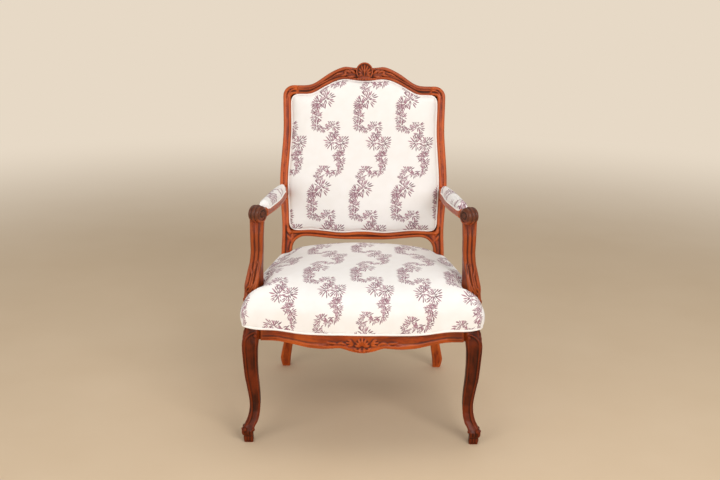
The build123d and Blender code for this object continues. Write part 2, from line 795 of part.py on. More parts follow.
pad_length = pad_rear_y - pad_front_y
pad_slope = (pad_front_height - pad_rear_height) / pad_length
PAD = Plane(origin=(arm_mid_x, pad_rear_y, pad_rear_height), x_dir=(1, 0, 0),
            z_dir=(0, pad_slope, 1))
arm_stations = [
    (-knuckle_y - 4, knuckle_x, knuckle_height - 4, knuckle_width - 18, 34),
    (-pad_front_y - 14, arm_front_x + 2, pad_front_height - 12, arm_front_width, 32),
    (-arm_mid_y, arm_mid_x, arm_rear_height + 7, arm_mid_width, arm_mid_depth),
    (-pad_rear_y, arm_rear_x + 2, arm_rear_height - 1, arm_rear_width + 4, arm_rear_depth - 6),
    (-pad_rear_y - 62, arm_rear_x, arm_rear_height, arm_rear_width, arm_rear_depth),
]

with BuildPart() as arm_right:
    for forth, x, height, width, depth in eased(arm_stations, 3):
        with BuildSketch(Plane.XZ.offset(forth)):
            with BuildLine():
                limb_lines(x, height, width, depth, 0.16)
            make_face()
    loft(ruled=True)
    split(bisect_by=GROUND, keep=Keep.TOP)
    block((-60, -pad_length - 2, 0), (60, 2, 40), Mode.SUBTRACT, PAD)
    with BuildSketch(Plane(origin=(knuckle_x, knuckle_y, knuckle_height), x_dir=(1, 0, 0),
                           z_dir=(0, -1, 0))):
        with BuildLine():
            lobe = knuckle_width / 3
            low = knuckle_radius - knuckle_groove
            Polyline((-knuckle_width / 2, low), (-knuckle_width / 2, 0), (knuckle_width / 2, 0),
                     (knuckle_width / 2, low))
            for turn in range(3):
                start = knuckle_width / 2 - lobe * turn
                Polyline((start, low), (start - lobe * 0.3, knuckle_radius),
                         (start - lobe * 0.7, knuckle_radius), (start - lobe, low))
        make_face()
    revolve(axis=Axis((knuckle_x, knuckle_y, knuckle_height), (1, 0, 0)))
    block((knuckle_x - 40, knuckle_y - 40, arm_joint_height - 60),
          (knuckle_x + 40, knuckle_y + 25, arm_joint_height), Mode.SUBTRACT)
    rod((knuckle_x + 3, knuckle_y + 2, arm_joint_height - 1), (0, 0, 1), peg_radius * 2 + joint_clearance,
        15 + joint_clearance, Mode.SUBTRACT)
    tenon(*arm_tenon, BACK)
    add(peg_holes.part, mode=Mode.SUBTRACT)

# ---------------------------------------------------------------- corner blocks, pegs and screws
def corner_block(points):
    """A glued corner block inside the seat frame, bored for its screw."""
    with BuildPart() as piece:
        with BuildSketch(Plane.XY.offset(seat_frame_top - corner_block_drop - corner_block_height)):
            with BuildLine():
                Polyline(*points, close=True)
            make_face()
        extrude(amount=corner_block_height)
        add(screw_holes.part, mode=Mode.SUBTRACT)
    return piece


corner_block_front = corner_block([
    front_block_corner, (leg_inner_x, rail_inner_y), (leg_inner_x, leg_back_y),
    (side_inner_front_x, leg_back_y), (side_inner_x(front_block_side_y), front_block_side_y),
])
corner_block_rear = corner_block([
    rear_block_corner, (post_inner_x, rear_rail_y), (post_inner_x, back_seat_y),
    (side_inner_rear_x, back_seat_y), (side_inner_x(rear_block_side_y), rear_block_side_y),
])

with BuildPart() as pegs_seat:
    for start, way, length in PEG_RUNS[:len(seat_pegs)]:
        with BuildSketch(Plane(origin=start, z_dir=way)):
            RegularPolygon(peg_radius, 8)
        extrude(amount=length)
    mirror(about=Plane.YZ)

with BuildPart() as pegs_back:
    for start, way, length in PEG_RUNS[len(seat_pegs):]:
        with BuildSketch(Plane(origin=start, z_dir=way)):
            RegularPolygon(peg_radius, 8)
        extrude(amount=length)
    mirror(about=Plane.YZ)

with BuildPart() as corner_block_screws:
    for start, way, length in screw_runs:
        rod(start - way, way, screw_radius, length)
        with BuildSketch(Plane(origin=start - way * screw_head_depth, z_dir=way)):
            RegularPolygon(screw_head_radius, 6)
        extrude(amount=screw_head_depth)
    mirror(about=Plane.YZ)


# ---------------------------------------------------------------- seat upholstery
seat_front_y = rail_face_y - rail_bulge - 0.5
seat_rear_y = rear_rail_back_y + 5
seat_middle_y = (seat_front_y + seat_rear_y) / 2
seat_half_depth = (seat_rear_y - seat_front_y) / 2
corner_turn = 14.0


def seat_lines(inset=0.0):
    """The right half of the seat cover's outline, shrunk about the seat's middle by inset."""
    wide = (front_half_width - inset) / front_half_width
    deep = (seat_half_depth - inset) / seat_half_depth

    def place(x, y):
        return (x * wide, seat_middle_y + (y - seat_middle_y) * deep)

    near = leg_inner_x - rail_straight_end
    front = rail_face_y - 0.5
    side = front_half_width + 0.5
    bow = ((side_front_x + side_rear_x) / 2 + side_rail_bow + 0.5, (leg_back_y + back_seat_y) / 2)
    Spline(place(0, front - rail_bulge), place(near / 2, front - rail_bulge * 0.7),
           place(near, front - rail_bulge * 0.16), place(leg_inner_x, front), tangents=[(1, 0), (1, 0)])
    Line(place(leg_inner_x, front), place(side - corner_turn, front))
    ThreePointArc(place(side - corner_turn, front),
                  place(side - corner_turn * 0.29, front + corner_turn * 0.29),
                  place(side, front + corner_turn))
    ThreePointArc(place(side, front + corner_turn), place(*bow), place(side_rear_x + 0.5, back_seat_y))
    Polyline(place(side_rear_x + 0.5, back_seat_y), place(side_rear_x + 0.5, seat_rear_y),
             place(0, seat_rear_y), place(0, front - rail_bulge))


skirt_bottom = cover_line + 2 * piping_radius + soft_clearance
crown_steps = [
    (skirt_bottom, 0.0),
    (seat_frame_top + 20, -seat_roll),
    (seat_frame_top + 50, seat_roll * 2),
    (seat_crown - 18, 42.0),
    (seat_crown - 4, 95.0),
    (seat_crown, 140.0),
]


def seat_form(thinner=0.0):
    """The crowned form of the seat, thinner at its sides and top by a thickness."""
    with BuildPart() as form:
        for height, inset in crown_steps:
            level = height if height == skirt_bottom else height - thinner
            with BuildSketch(Plane.XY.offset(level)):
                with BuildLine():
                    seat_lines(inset + thinner)
                make_face()
                mirror(about=Plane.YZ)
        loft(ruled=True)
    return form


console_gap = soft_clearance + 0.6
console_notch = ((console_waist_x - console_waist_width / 2 - console_gap - 1,
                  console_y - console_base_depth * 0.75, seat_frame_top - 1),
                 (far, console_y + console_base_depth / 2 + console_gap + 8, far))
post_notch = ((post_inner_x - console_gap - 1, back_seat_y - console_gap, 0), (far, far, far))
lower_rail_turn = ((post_inner_x - 30, back_seat_y + 2, seat_frame_top + 38), (far, far, far))
lower_rail_edge = ((-far, back_seat_y + 12, seat_frame_top + 66), (far, far, far))
knee_notch = ((leg_inner_x - 2, -far, 0), (far, leg_back_y + 2, knee_cover_line + 2 * piping_radius + 1))


def clear_frame(*notches):
    """Cut the room for the arm supports, posts and knees out of the right half of a soft piece."""
    for low, high in notches:
        block(low, high, Mode.SUBTRACT)


seat_outer = seat_form()
seat_inner = seat_form(cover_thickness)
seat_filling = seat_form(cover_thickness + soft_clearance)
hessian_level = seat_frame_top + 2 * webbing_thickness

with BuildPart() as seat_cover:
    add(seat_outer.part)
    add(seat_inner.part, mode=Mode.SUBTRACT)
    split(bisect_by=Plane.YZ, keep=Keep.TOP)
    clear_frame(console_notch, post_notch, knee_notch, lower_rail_turn, lower_rail_edge)
    mirror(about=Plane.YZ)

with BuildPart() as seat_stuffing:
    add(seat_filling.part)
    split(bisect_by=Plane.YZ, keep=Keep.TOP)
    block((-1, -far, 0), (far, far, hessian_level + hessian_thickness), Mode.SUBTRACT)
    clear_frame(console_notch, post_notch, lower_rail_turn, lower_rail_edge)
    mirror(about=Plane.YZ)

with BuildPart() as seat_hessian:
    with BuildSketch(Plane.XY.offset(hessian_level)):
        with BuildLine():
            seat_lines(cover_thickness * 4)
        make_face()
    extrude(amount=hessian_thickness)
    clear_frame(console_notch, post_notch)
    mirror(about=Plane.YZ)

strap_pitch = (side_inner_rear_x * 2 - webbing_width) / strap_count
with BuildPart() as seat_webbing_fore_aft:
    for turn in range(strap_count):
        across = (turn - (strap_count - 1) / 2) * strap_pitch
        block((across - webbing_width / 2, rail_face_y + 12, seat_frame_top),
              (across + webbing_width / 2, rear_rail_back_y - 4, seat_frame_top + webbing_thickness))

cross_pitch = (back_seat_y - rail_inner_y - webbing_width) / strap_count
with BuildPart() as seat_webbing_cross:
    for turn in range(strap_count):
        along = rail_inner_y + webbing_width / 2 + cross_pitch * (turn + 0.5)
        reach = side_inner_x(along + webbing_width / 2) + rail_thickness * 0.6
        block((-reach, along - webbing_width / 2, seat_frame_top + webbing_thickness),
              (reach, along + webbing_width / 2, seat_frame_top + 2 * webbing_thickness))
        clear_frame(console_notch)
        mirror(about=Plane.YZ, mode=Mode.INTERSECT)

cord_thickness = 2 * piping_radius
cord_front = rail_face_y - 1
knee_cord_x = block_side_x + cord_thickness + 0.3
knee_cord_y = block_front_y - cord_thickness - 0.3
with BuildPart() as seat_piping:
    with BuildSketch(Plane.XY.offset(cover_line + 0.1)):
        with BuildLine():
            front_curve(cord_front, rail_bulge)
            front_curve(cord_front + cord_thickness - 0.4, rail_bulge)
            Line((leg_inner_x, cord_front), (leg_inner_x, cord_front + cord_thickness - 0.4))
            Line((0, cord_front - rail_bulge), (0, cord_front + cord_thickness - 0.4 - rail_bulge))
        make_face()
        with BuildLine():
            side_rail_plan(1)
        make_face()
        with BuildLine():
            side_rail_plan(-cover_rabbet + 0.3)
        make_face(mode=Mode.SUBTRACT)
    extrude(amount=cord_thickness)
    with BuildSketch(Plane.XY.offset(knee_cover_line + 0.4)):
        with BuildLine():
            Polyline((leg_inner_x, block_front_y - 0.3), (leg_inner_x, knee_cord_y),
                     (knee_cord_x - corner_turn, knee_cord_y), (knee_cord_x - 4, knee_cord_y + 4),
                     (knee_cord_x, knee_cord_y + corner_turn), (knee_cord_x, leg_back_y),
                     (block_side_x + 0.3, leg_back_y),
                     (block_side_x + 0.3, block_front_y + leg_chamfer),
                     (block_side_x - leg_chamfer, block_front_y - 0.3), close=True)
        make_face()
    extrude(amount=cord_thickness)
    mirror(about=Plane.YZ)


# ---------------------------------------------------------------- back upholstery
pad_inset = 2 * piping_radius + 2
back_base = -ledge_setback + webbing_thickness + hessian_thickness
back_steps = [(back_base, pad_inset), (back_crown * 0.55, pad_inset + 7),
              (back_crown, pad_inset + 55)]


def back_form(thinner=0.0):
    """The crowned form of the back's inside upholstery, thinner at its sides and front."""
    with BuildPart() as form:
        for proud, inset in back_steps:
            level = back_base if proud == back_base else proud - thinner
            with BuildSketch(BACK.offset(level)):
                with BuildLine():
                    opening_lines(inset + thinner)
                make_face()
                mirror(about=Plane.YZ)
        loft(ruled=True)
    return form


with BuildPart() as back_cover_inside:
    add(back_form().part)
    add(back_form(back_cover_thickness).part, mode=Mode.SUBTRACT)

back_stuffing = back_form(back_cover_thickness + soft_clearance)

with BuildPart() as back_webbing:
    with BuildSketch(BACK.offset(-ledge_setback)):
        with GridLocations(webbing_width * 1.5, 1, back_strap_count, 1):
            Rectangle(webbing_width, far * 2)
        add(opening_face(pad_inset), mode=Mode.INTERSECT)
    extrude(amount=webbing_thickness)

with BuildPart() as back_hessian:
    with BuildSketch(BACK.offset(-ledge_setback + webbing_thickness)):
        add(opening_face(pad_inset))
    extrude(amount=hessian_thickness)

rear_ledge = -ledge_setback - ledge_thickness
with BuildPart() as back_cover_outside:
    with BuildSketch(BACK.offset(rear_ledge)):
        add(opening_face(pad_inset))
    extrude(amount=-back_cover_thickness)


def opening_cord(depth):
    """A closed cord of piping round the opening, its middle at a depth."""
    with BuildPart() as cord:
        with BuildSketch(BACK.offset(depth - piping_radius)):
            with BuildLine():
                opening_lines(0.5)
            make_face()
            with BuildLine():
                opening_lines(0.5 + 2 * piping_radius)
            make_face(mode=Mode.SUBTRACT)
        extrude(amount=2 * piping_radius)
        mirror(about=Plane.YZ)
    return cord


back_piping_front = opening_cord(-moulding_relief - 1)
back_piping_rear = opening_cord(rear_ledge - piping_radius - 0.1)


# ---------------------------------------------------------------- arm pads
pad_steps = [(0.2, 0.0), (pad_crown * 0.45, -1.0), (pad_crown * 0.8, 5.0), (pad_crown, 12.0)]


def pad_lines(inset):
    """The arm pad's outline on the arm's top: a bowed strip with rounded ends."""
    half = pad_width / 2 - inset
    rear = 3 + inset
    front = pad_length - 3 - inset
    rear_shift = arm_rear_x - arm_mid_x
    front_shift = arm_front_x - arm_mid_x
    Spline((rear_shift + half * 0.6, -rear), (half, -pad_length * 0.45),
           (front_shift + half * 0.8, -front), tangents=[(0.2, -1), (0.1, -1)])
    Line((front_shift + half * 0.8, -front), (front_shift - half * 0.8, -front))
    Spline((front_shift - half * 0.8, -front), (-half, -pad_length * 0.45),
           (rear_shift - half * 0.6, -rear), tangents=[(-0.1, 1), (-0.2, 1)])
    Line((rear_shift - half * 0.6, -rear), (rear_shift + half * 0.6, -rear))


def pad_form(thinner):
    """The crowned form of an arm pad, thinner all round by a thickness."""
    with BuildPart() as form:
        for proud, inset in pad_steps:
            level = proud - (thinner if proud > 1 else 0)
            with BuildSketch(PAD.offset(level)):
                with BuildLine():
                    pad_lines(inset + thinner + arm_piping_radius)
                make_face()
        loft(ruled=True)
    return form


with BuildPart() as arm_pad_cover_right:
    add(pad_form(0.0).part)
    add(pad_form(back_cover_thickness).part, mode=Mode.SUBTRACT)

arm_pad_right = pad_form(back_cover_thickness + soft_clearance)

with BuildPart() as arm_pad_piping_right:
    with BuildSketch(PAD.offset(0.2)):
        for edge, mode in ((-arm_piping_radius - 0.6, Mode.ADD), (arm_piping_radius - 0.6, Mode.SUBTRACT)):
            with BuildLine():
                pad_lines(edge)
            make_face(mode=mode)
    extrude(amount=2 * arm_piping_radius)


save_pair(leg_front_right, "leg_front")
save(rail_seat_front, "rail_seat_front")
save_pair(rail_seat_side, "rail_seat")
save(rail_seat_rear, "rail_seat_rear")
save_pair(post_rear_right, "post_rear")
save(rail_back_crest, "rail_back_crest")
save(rail_back_lower, "rail_back_lower")
save_pair(arm_support_right, "arm_support")
save_pair(arm_right, "arm")
save_pair(corner_block_front, "corner_block_front")
save_pair(corner_block_rear, "corner_block_rear")
save(pegs_seat, "pegs_seat")
save(pegs_back, "pegs_back")
save(corner_block_screws, "corner_block_screws")
save(seat_webbing_fore_aft, "seat_webbing_fore_aft")
save(seat_webbing_cross, "seat_webbing_cross")
save(seat_hessian, "seat_hessian")
save(seat_stuffing, "seat_stuffing")
save(seat_cover, "seat_cover")
save(seat_piping, "seat_piping")
save(back_webbing, "back_webbing")
save(back_hessian, "back_hessian")
save(back_stuffing, "back_stuffing")
save(back_cover_inside, "back_cover_inside")
save(back_cover_outside, "back_cover_outside")
save(back_piping_front, "back_piping_front")
save(back_piping_rear, "back_piping_rear")
save_pair(arm_pad_right, "arm_pad")
save_pair(arm_pad_cover_right, "arm_pad_cover")
save_pair(arm_pad_piping_right, "arm_pad_piping")
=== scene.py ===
import math

import bmesh
import bpy
import numpy as np
from mathutils import Matrix, Vector
from mathutils.bvhtree import BVHTree
from mathutils.kdtree import KDTree


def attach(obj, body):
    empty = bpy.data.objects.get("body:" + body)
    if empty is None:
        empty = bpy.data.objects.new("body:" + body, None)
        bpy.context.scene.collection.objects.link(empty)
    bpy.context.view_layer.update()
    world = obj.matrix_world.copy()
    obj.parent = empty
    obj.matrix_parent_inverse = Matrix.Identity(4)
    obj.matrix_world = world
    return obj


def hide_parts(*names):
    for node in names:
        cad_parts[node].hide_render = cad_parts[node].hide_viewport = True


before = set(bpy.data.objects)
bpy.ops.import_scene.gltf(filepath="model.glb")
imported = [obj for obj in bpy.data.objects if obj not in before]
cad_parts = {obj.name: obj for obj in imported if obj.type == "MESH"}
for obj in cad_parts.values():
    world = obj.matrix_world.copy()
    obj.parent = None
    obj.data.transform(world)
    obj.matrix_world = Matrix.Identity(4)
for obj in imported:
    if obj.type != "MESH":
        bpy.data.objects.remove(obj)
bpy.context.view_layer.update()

# A Louis XV style fauteuil. Metres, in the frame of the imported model: +X is the right side as seen
# from the front, the front faces -Y and the floor is Z = 0.

# ---------------------------------------------------------------- sizes, and how pieces are eased
LEAN = math.radians(11.5)
BACK_ORIGIN = Vector((0, 0.211, 0.375))
BACK_UP = Vector((0, math.sin(LEAN), math.cos(LEAN)))
BACK_OUT = Vector((0, -math.cos(LEAN), math.sin(LEAN)))
RAIL_TOP = 0.375
COVER_EDGE = 0.344
# The stuffed back's middle up the back and half of its width, which the swelling leaves as they are.
BACK_MIDDLE = 0.3295
BACK_HALF_WIDTH = 0.2345
# The seat's cover: how far its front hangs lower than the model's, its cloth, where its front corners
# start to turn (across and forth), how far they reach on and how square they are (2 is round), and
# the underside of the blocks that fill its gaps.
COVER_DROP = 0.0070
COVER_THICKNESS = 0.0022
COVER_CORNER = (0.283, 0.275)
CORNER_REACH = 0.052
CORNER_POWER = 3.6
BLOCK_FLOOR = 0.3445
# The height of the cover's lower edge along its front, and the height up to which it draws the cover.
RIM_LINE = [(0, 0.3395), (0.06, 0.3388), (0.108, 0.3368), (0.15, 0.3345), (0.18, 0.3350), (0.21, 0.3380),
            (0.24, 0.3405), (0.27, 0.3390), (0.288, 0.3390), (0.304, 0.3425), (0.325, 0.3490)]
RIM_REACH = 0.405
CORD_RADIUS = 0.0033
PAD_CORD_RADIUS = 0.0023
# How often carved wood is eased, over how many rounds and what depth a hollow counts as full, and
# how hard and how long stuffed cloth is blown up.
WOOD_ROUNDS = 3
HOLLOW_ROUNDS = 14
HOLLOW_DEPTH = 0.0006
CLOTH_PRESSURE = 3.0
CLOTH_FRAMES = 20

# The front legs: height, how far the leg stands out from its corner, and its width.
LEG_STATIONS = [(0.022, 0.0025, 0.030), (0.036, 0.0035, 0.033), (0.066, -0.0145, 0.029),
                (0.112, -0.0185, 0.028), (0.194, -0.005, 0.0355), (0.273, 0.003, 0.0428),
                (0.320, 0.004, 0.050), (0.352, 0.0, 0.046)]
LEG_CORNER = Vector((0.330, -0.318, 0))
# Distance across and rise: the crest band's middle. Distance across and height: the front rail's lower
# edge, and how far it is shifted from the model's.
CREST_LINE = [(0, 0.592), (0.033, 0.594), (0.066, 0.5955), (0.09, 0.588), (0.115, 0.575),
              (0.14, 0.562), (0.164, 0.547)]
RAIL_LOW = [(0, 0.286), (0.025, 0.2892), (0.05, 0.2960), (0.075, 0.2978), (0.11, 0.2942),
            (0.15, 0.2935), (0.19, 0.2995), (0.226, 0.3040), (0.280, 0.3035)]
RAIL_SHIFT = [(0, 0), (0.022, 0), (0.033, -0.001), (0.047, 0.002), (0.058, 0.004), (0.072, 0.003),
              (0.092, 0), (0.11, -0.002), (0.13, -0.003), (0.15, -0.0045), (0.19, -0.004),
              (0.23, -0.004), (0.285, -0.006)]


def colour(red, green, blue):
    """A display colour, 0 to 255, as the linear values that a shader takes."""
    def linear(value):
        value /= 255
        return value / 12.92 if value <= 0.04045 else ((value + 0.055) / 1.055) ** 2.4
    return linear(red), linear(green), linear(blue), 1.0


def on_back(across, rise, proud=0.0):
    """A point given on the reclined plane of the back."""
    return BACK_ORIGIN + Vector((across, 0, 0)) + BACK_UP * rise + BACK_OUT * proud


def smoothstep(value, low, high):
    """0 below low, 1 above high and a smooth turn between."""
    share = np.clip((value - low) / (high - low), 0, 1)
    return share * share * (3 - 2 * share)


# ---------------------------------------------------------------- mesh helpers
def node_copy(*names):
    """CAD nodes copied into one bmesh, their loose triangles merged."""
    shape = bmesh.new()
    for name in names:
        shape.from_mesh(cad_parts[name].data)
    bmesh.ops.remove_doubles(shape, verts=shape.verts, dist=1e-6)
    return shape


def piece_from(shape, name):
    """A new object from a bmesh."""
    mesh = bpy.data.meshes.new(name)
    shape.to_mesh(mesh)
    shape.free()
    piece = bpy.data.objects.new(name, mesh)
    bpy.context.scene.collection.objects.link(piece)
    return piece


def baked(piece):
    """Apply all of a piece's modifiers to its mesh."""
    view = bpy.context.evaluated_depsgraph_get()
    mesh = bpy.data.meshes.new_from_object(piece.evaluated_get(view))
    old = piece.data
    piece.modifiers.clear()
    piece.data = mesh
    bpy.data.meshes.remove(old)
    mesh.name = piece.name


def remeshed(piece, voxel):
    """Fuse all that a piece holds into one closed skin of even quads."""
    skin = piece.modifiers.new("skin", "REMESH")
    skin.mode = "VOXEL"
    skin.voxel_size = voxel
    baked(piece)


def points_of(mesh):
    """The mesh's points as an array."""
    points = np.zeros(len(mesh.vertices) * 3)
    mesh.vertices.foreach_get("co", points)
    return points.reshape(-1, 3)


def set_points(mesh, points):
    """Write an array of points back to the mesh."""
    mesh.vertices.foreach_set("co", points.astype(np.float32).ravel())
    mesh.update()


def edge_ends(mesh):
    """The mesh's edges as pairs of point numbers."""
    ends = np.zeros(len(mesh.edges) * 2, dtype=np.int64)
    mesh.edges.foreach_get("vertices", ends)
    return ends.reshape(-1, 2)


def averaged(values, ends):
    """Each point's values averaged over the points joined to it."""
    count = len(values)
    joined = np.bincount(ends.ravel(), minlength=count).astype(float)
    total = np.zeros_like(values)
    for axis in range(values.shape[1]):
        total[:, axis] += np.bincount(ends[:, 0], values[ends[:, 1], axis], count)
        total[:, axis] += np.bincount(ends[:, 1], values[ends[:, 0], axis], count)
    return total / np.maximum(joined, 1)[:, None]


def smoothed(piece, rounds, back=-0.52, weight=None):
    """Smooth a piece's mesh, giving back what each round shrinks."""
    mesh = piece.data
    points, ends = points_of(mesh), edge_ends(mesh)
    keep = 1.0 if weight is None else weight[:, None]
    for _ in range(rounds):
        points += (averaged(points, ends) - points) * 0.5 * keep
        if back:
            points += (averaged(points, ends) - points) * back * keep
    set_points(mesh, points)


def normals_of(mesh):
    """The mesh's point normals as an array."""
    normals = np.zeros(len(mesh.vertices) * 3)
    mesh.vertex_normals.foreach_get("vector", normals)
    return normals.reshape(-1, 3)


def mark_hollows(piece):
    """Keep on each point how deep it lies in a hollow: 0 on an edge, 0.5 on a plain face, 1 in a groove."""
    mesh = piece.data
    points, ends = points_of(mesh), edge_ends(mesh)
    soft = points.copy()
    for _ in range(HOLLOW_ROUNDS):
        soft = averaged(soft, ends)
    deep = ((soft - points) * normals_of(mesh)).sum(axis=1) / HOLLOW_DEPTH
    for _ in range(2):
        deep = averaged(deep[:, None], ends)[:, 0]
    hollow = mesh.attributes.new("hollow", "FLOAT", "POINT")
    hollow.data.foreach_set("value", (np.clip(deep, -1, 1) * 0.5 + 0.5).astype(np.float32))


def shade_smooth(piece):
    """Shade a piece's faces smooth."""
    piece.data.polygons.foreach_set("use_smooth", np.ones(len(piece.data.polygons), dtype=bool))
    piece.data.update()


def settle(piece, material, slot, *replaced):
    """Give a finished piece its material and its place on the chair."""
    shade_smooth(piece)
    piece.data.materials.clear()
    piece.data.materials.append(material)
    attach(piece, "root")
    if replaced:
        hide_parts(*replaced)


def mirrored(piece, name):
    """A left-hand copy of a right-hand piece, before it is settled."""
    shape = bmesh.new()
    shape.from_mesh(piece.data)
    bmesh.ops.scale(shape, vec=(-1, 1, 1), verts=shape.verts)
    bmesh.ops.reverse_faces(shape, faces=shape.faces)
    return piece_from(shape, name)


def curve_through(points, steps):
    """Even samples on a smooth curve through a few points."""
    points = np.array([tuple(p) for p in points], dtype=float)
    if len(points) == 2:
        shares = np.linspace(0, 1, steps)[:, None]
        return points[0] * (1 - shares) + points[1] * shares
    chord = np.sqrt(np.linalg.norm(np.diff(points, axis=0), axis=1))
    knots = np.concatenate([[0], np.cumsum(chord)])
    slopes = np.gradient(points, knots, axis=0)
    where = np.linspace(0, knots[-1], steps)
    turn = np.clip(np.searchsorted(knots, where, side="right") - 1, 0, len(knots) - 2)
    run = (knots[turn + 1] - knots[turn])[:, None]
    t = (where[:, None] - knots[turn][:, None]) / run
    return (points[turn] * (1 + 2 * t) * (1 - t) ** 2 + slopes[turn] * run * t * (1 - t) ** 2
            + points[turn + 1] * t * t * (3 - 2 * t) - slopes[turn + 1] * run * t * t * (1 - t))


def strand(shape, path, width, height, facing, sides=10, stations=18, taper=(0.5, 0.5)):
    """Carve a tapered strand along a path: a sphere drawn out, widest between its two ends."""
    made = bmesh.ops.create_uvsphere(shape, u_segments=sides, v_segments=stations, radius=1.0)["verts"]
    line = curve_through(path, 64)
    along = np.gradient(line, axis=0)
    for vert in made:
        polar = math.acos(max(-1.0, min(1.0, vert.co.z)))
        share = polar / math.pi
        place = share * (len(line) - 1)
        low = min(int(place), len(line) - 2)
        centre = Vector(line[low]).lerp(Vector(line[low + 1]), place - low)
        way = Vector(along[low]).normalized()
        up = facing(centre) if callable(facing) else Vector(facing)
        up = (up - way * up.dot(way)).normalized()
        side = up.cross(way)
        swell = min(1.0, (share / taper[0]) ** 0.6 if share < taper[0] else 1.0)
        swell = min(swell, ((1 - share) / taper[1]) ** 0.6 if 1 - share < taper[1] else 1.0)
        round_x, round_y = vert.co.x, vert.co.y
        ring = math.hypot(round_x, round_y)
        if ring > 1e-6:
            round_x, round_y = round_x / ring, round_y / ring
        size = swell if ring > 1e-6 else 0.0
        vert.co = centre + side * (width * size * round_x) + up * (height * size * round_y)


def ball(shape, centre, radius, squash, facing=(0, -1, 0)):
    """Carve a round berry, flattened along the way it faces."""
    made = bmesh.ops.create_uvsphere(shape, u_segments=14, v_segments=9, radius=radius)["verts"]
    turn = Vector((0, 0, 1)).rotation_difference(Vector(facing)).to_matrix()
    for vert in made:
        local = Vector((vert.co.x, vert.co.y, vert.co.z * squash))
        vert.co = turn @ local + Vector(centre)


def cord(name, points, radius, closed=False):
    """A round cord of piping through points, as a mesh."""
    curve = bpy.data.curves.new(name, "CURVE")
    curve.dimensions = "3D"
    curve.bevel_depth = radius
    curve.bevel_resolution = 3
    curve.use_fill_caps = True
    line = curve.splines.new("POLY")
    line.points.add(len(points) - 1)
    for point, co in zip(line.points, points):
        point.co = (*co, 1)
    line.use_cyclic_u = closed
    holder = bpy.data.objects.new(name, curve)
    bpy.context.scene.collection.objects.link(holder)
    view = bpy.context.evaluated_depsgraph_get()
    mesh = bpy.data.meshes.new_from_object(holder.evaluated_get(view))
    bpy.data.objects.remove(holder)
    bpy.data.curves.remove(curve)
    mesh.name = name
    piece = bpy.data.objects.new(name, mesh)
    bpy.context.scene.collection.objects.link(piece)
    return piece


def evenly(points, spacing):
    """A closed run of points spaced evenly along the same line."""
    points = np.array([tuple(p) for p in points], dtype=float)
    points = np.vstack([points, points[:1]])
    steps = np.linalg.norm(np.diff(points, axis=0), axis=1)
    reach = np.concatenate([[0], np.cumsum(steps)])
    count = max(int(round(reach[-1] / spacing)), 3)
    where = np.linspace(0, reach[-1], count + 1)[:-1]
    return np.stack([np.interp(where, reach, points[:, axis]) for axis in range(3)], axis=1)


def softened(points, rounds, closed=False):
    """A run of points with its corners eased."""
    points = points.copy()
    for _ in range(rounds):
        if closed:
            points = (np.roll(points, 1, axis=0) + 2 * points + np.roll(points, -1, axis=0)) / 4
        else:
            points[1:-1] = (points[:-2] + 2 * points[1:-1] + points[2:]) / 4
    return points


def outwards(line, facing):
    """At each point of a closed line, the way out of it, square to the line and to a facing."""
    ahead = np.roll(line, -1, axis=0) - np.roll(line, 1, axis=0)
    side = np.cross(ahead, np.array(facing))
    side /= np.linalg.norm(side, axis=1)[:, None]
    return side * np.sign((side * (line - line.mean(axis=0))).sum(axis=1))[:, None]


def rim_loops(shape):
    """The open rims of a bmesh, each as a run of points in order."""
    left = {edge for edge in shape.edges if len(edge.link_faces) == 1}
    loops = []
    while left:
        edge = left.pop()
        start, vert = edge.verts
        loop = [start.co.copy(), vert.co.copy()]
        while vert != start:
            following = [e for e in vert.link_edges if e in left]
            if not following:
                break
            left.discard(following[0])
            vert = following[0].other_vert(vert)
            loop.append(vert.co.copy())
        loops.append(loop[:-1])
    return sorted(loops, key=len, reverse=True)


def outline_of(node, way):
    """The outer edge of a node's flat face that looks a given way."""
    shape = node_copy(node)
    shape.normal_update()
    away = [face for face in shape.faces if face.normal.dot(way) < 0.99]
    bmesh.ops.delete(shape, geom=away, context="FACES")
    loops = rim_loops(shape)
    shape.free()
    return max(loops, key=lambda loop: sum((a - b).length for a, b in zip(loop, loop[1:])))


# ---------------------------------------------------------------- material helpers
class Tree:
    """A node tree, built a node at a time."""

    def __init__(self, tree):
        self.tree = tree

    def add(self, kind, **values):
        node = self.tree.nodes.new(kind)
        for key, value in values.items():
            setattr(node, key, value)
        return node

    def link(self, output, target):
        self.tree.links.new(output, target)

    def feed(self, node, places, values):
        """Link or set a node's inputs."""
        for place, value in zip(places, values):
            if isinstance(value, (int, float, tuple)):
                node.inputs[place].default_value = value
            else:
                self.link(value, node.inputs[place])

    def math(self, operation, *inputs, clamp=False):
        node = self.add("ShaderNodeMath", operation=operation, use_clamp=clamp)
        self.feed(node, (0, 1, 2), inputs)
        return node.outputs[0]

    def split(self, value, kind="XYZ"):
        """The three parts of a vector, or of a colour."""
        node = self.add(f"ShaderNodeSeparate{kind}")
        self.link(value, node.inputs[0])
        return node.outputs

    def joined(self, *parts):
        """A vector made of its first two parts."""
        node = self.add("ShaderNodeCombineXYZ")
        self.feed(node, (0, 1), parts)
        return node.outputs[0]

    def blend(self, share, first, second):
        """A mix of two shaders."""
        node = self.add("ShaderNodeMixShader")
        self.feed(node, (0, 1, 2), (share, first.outputs[0], second.outputs[0]))
        return node.outputs[0]


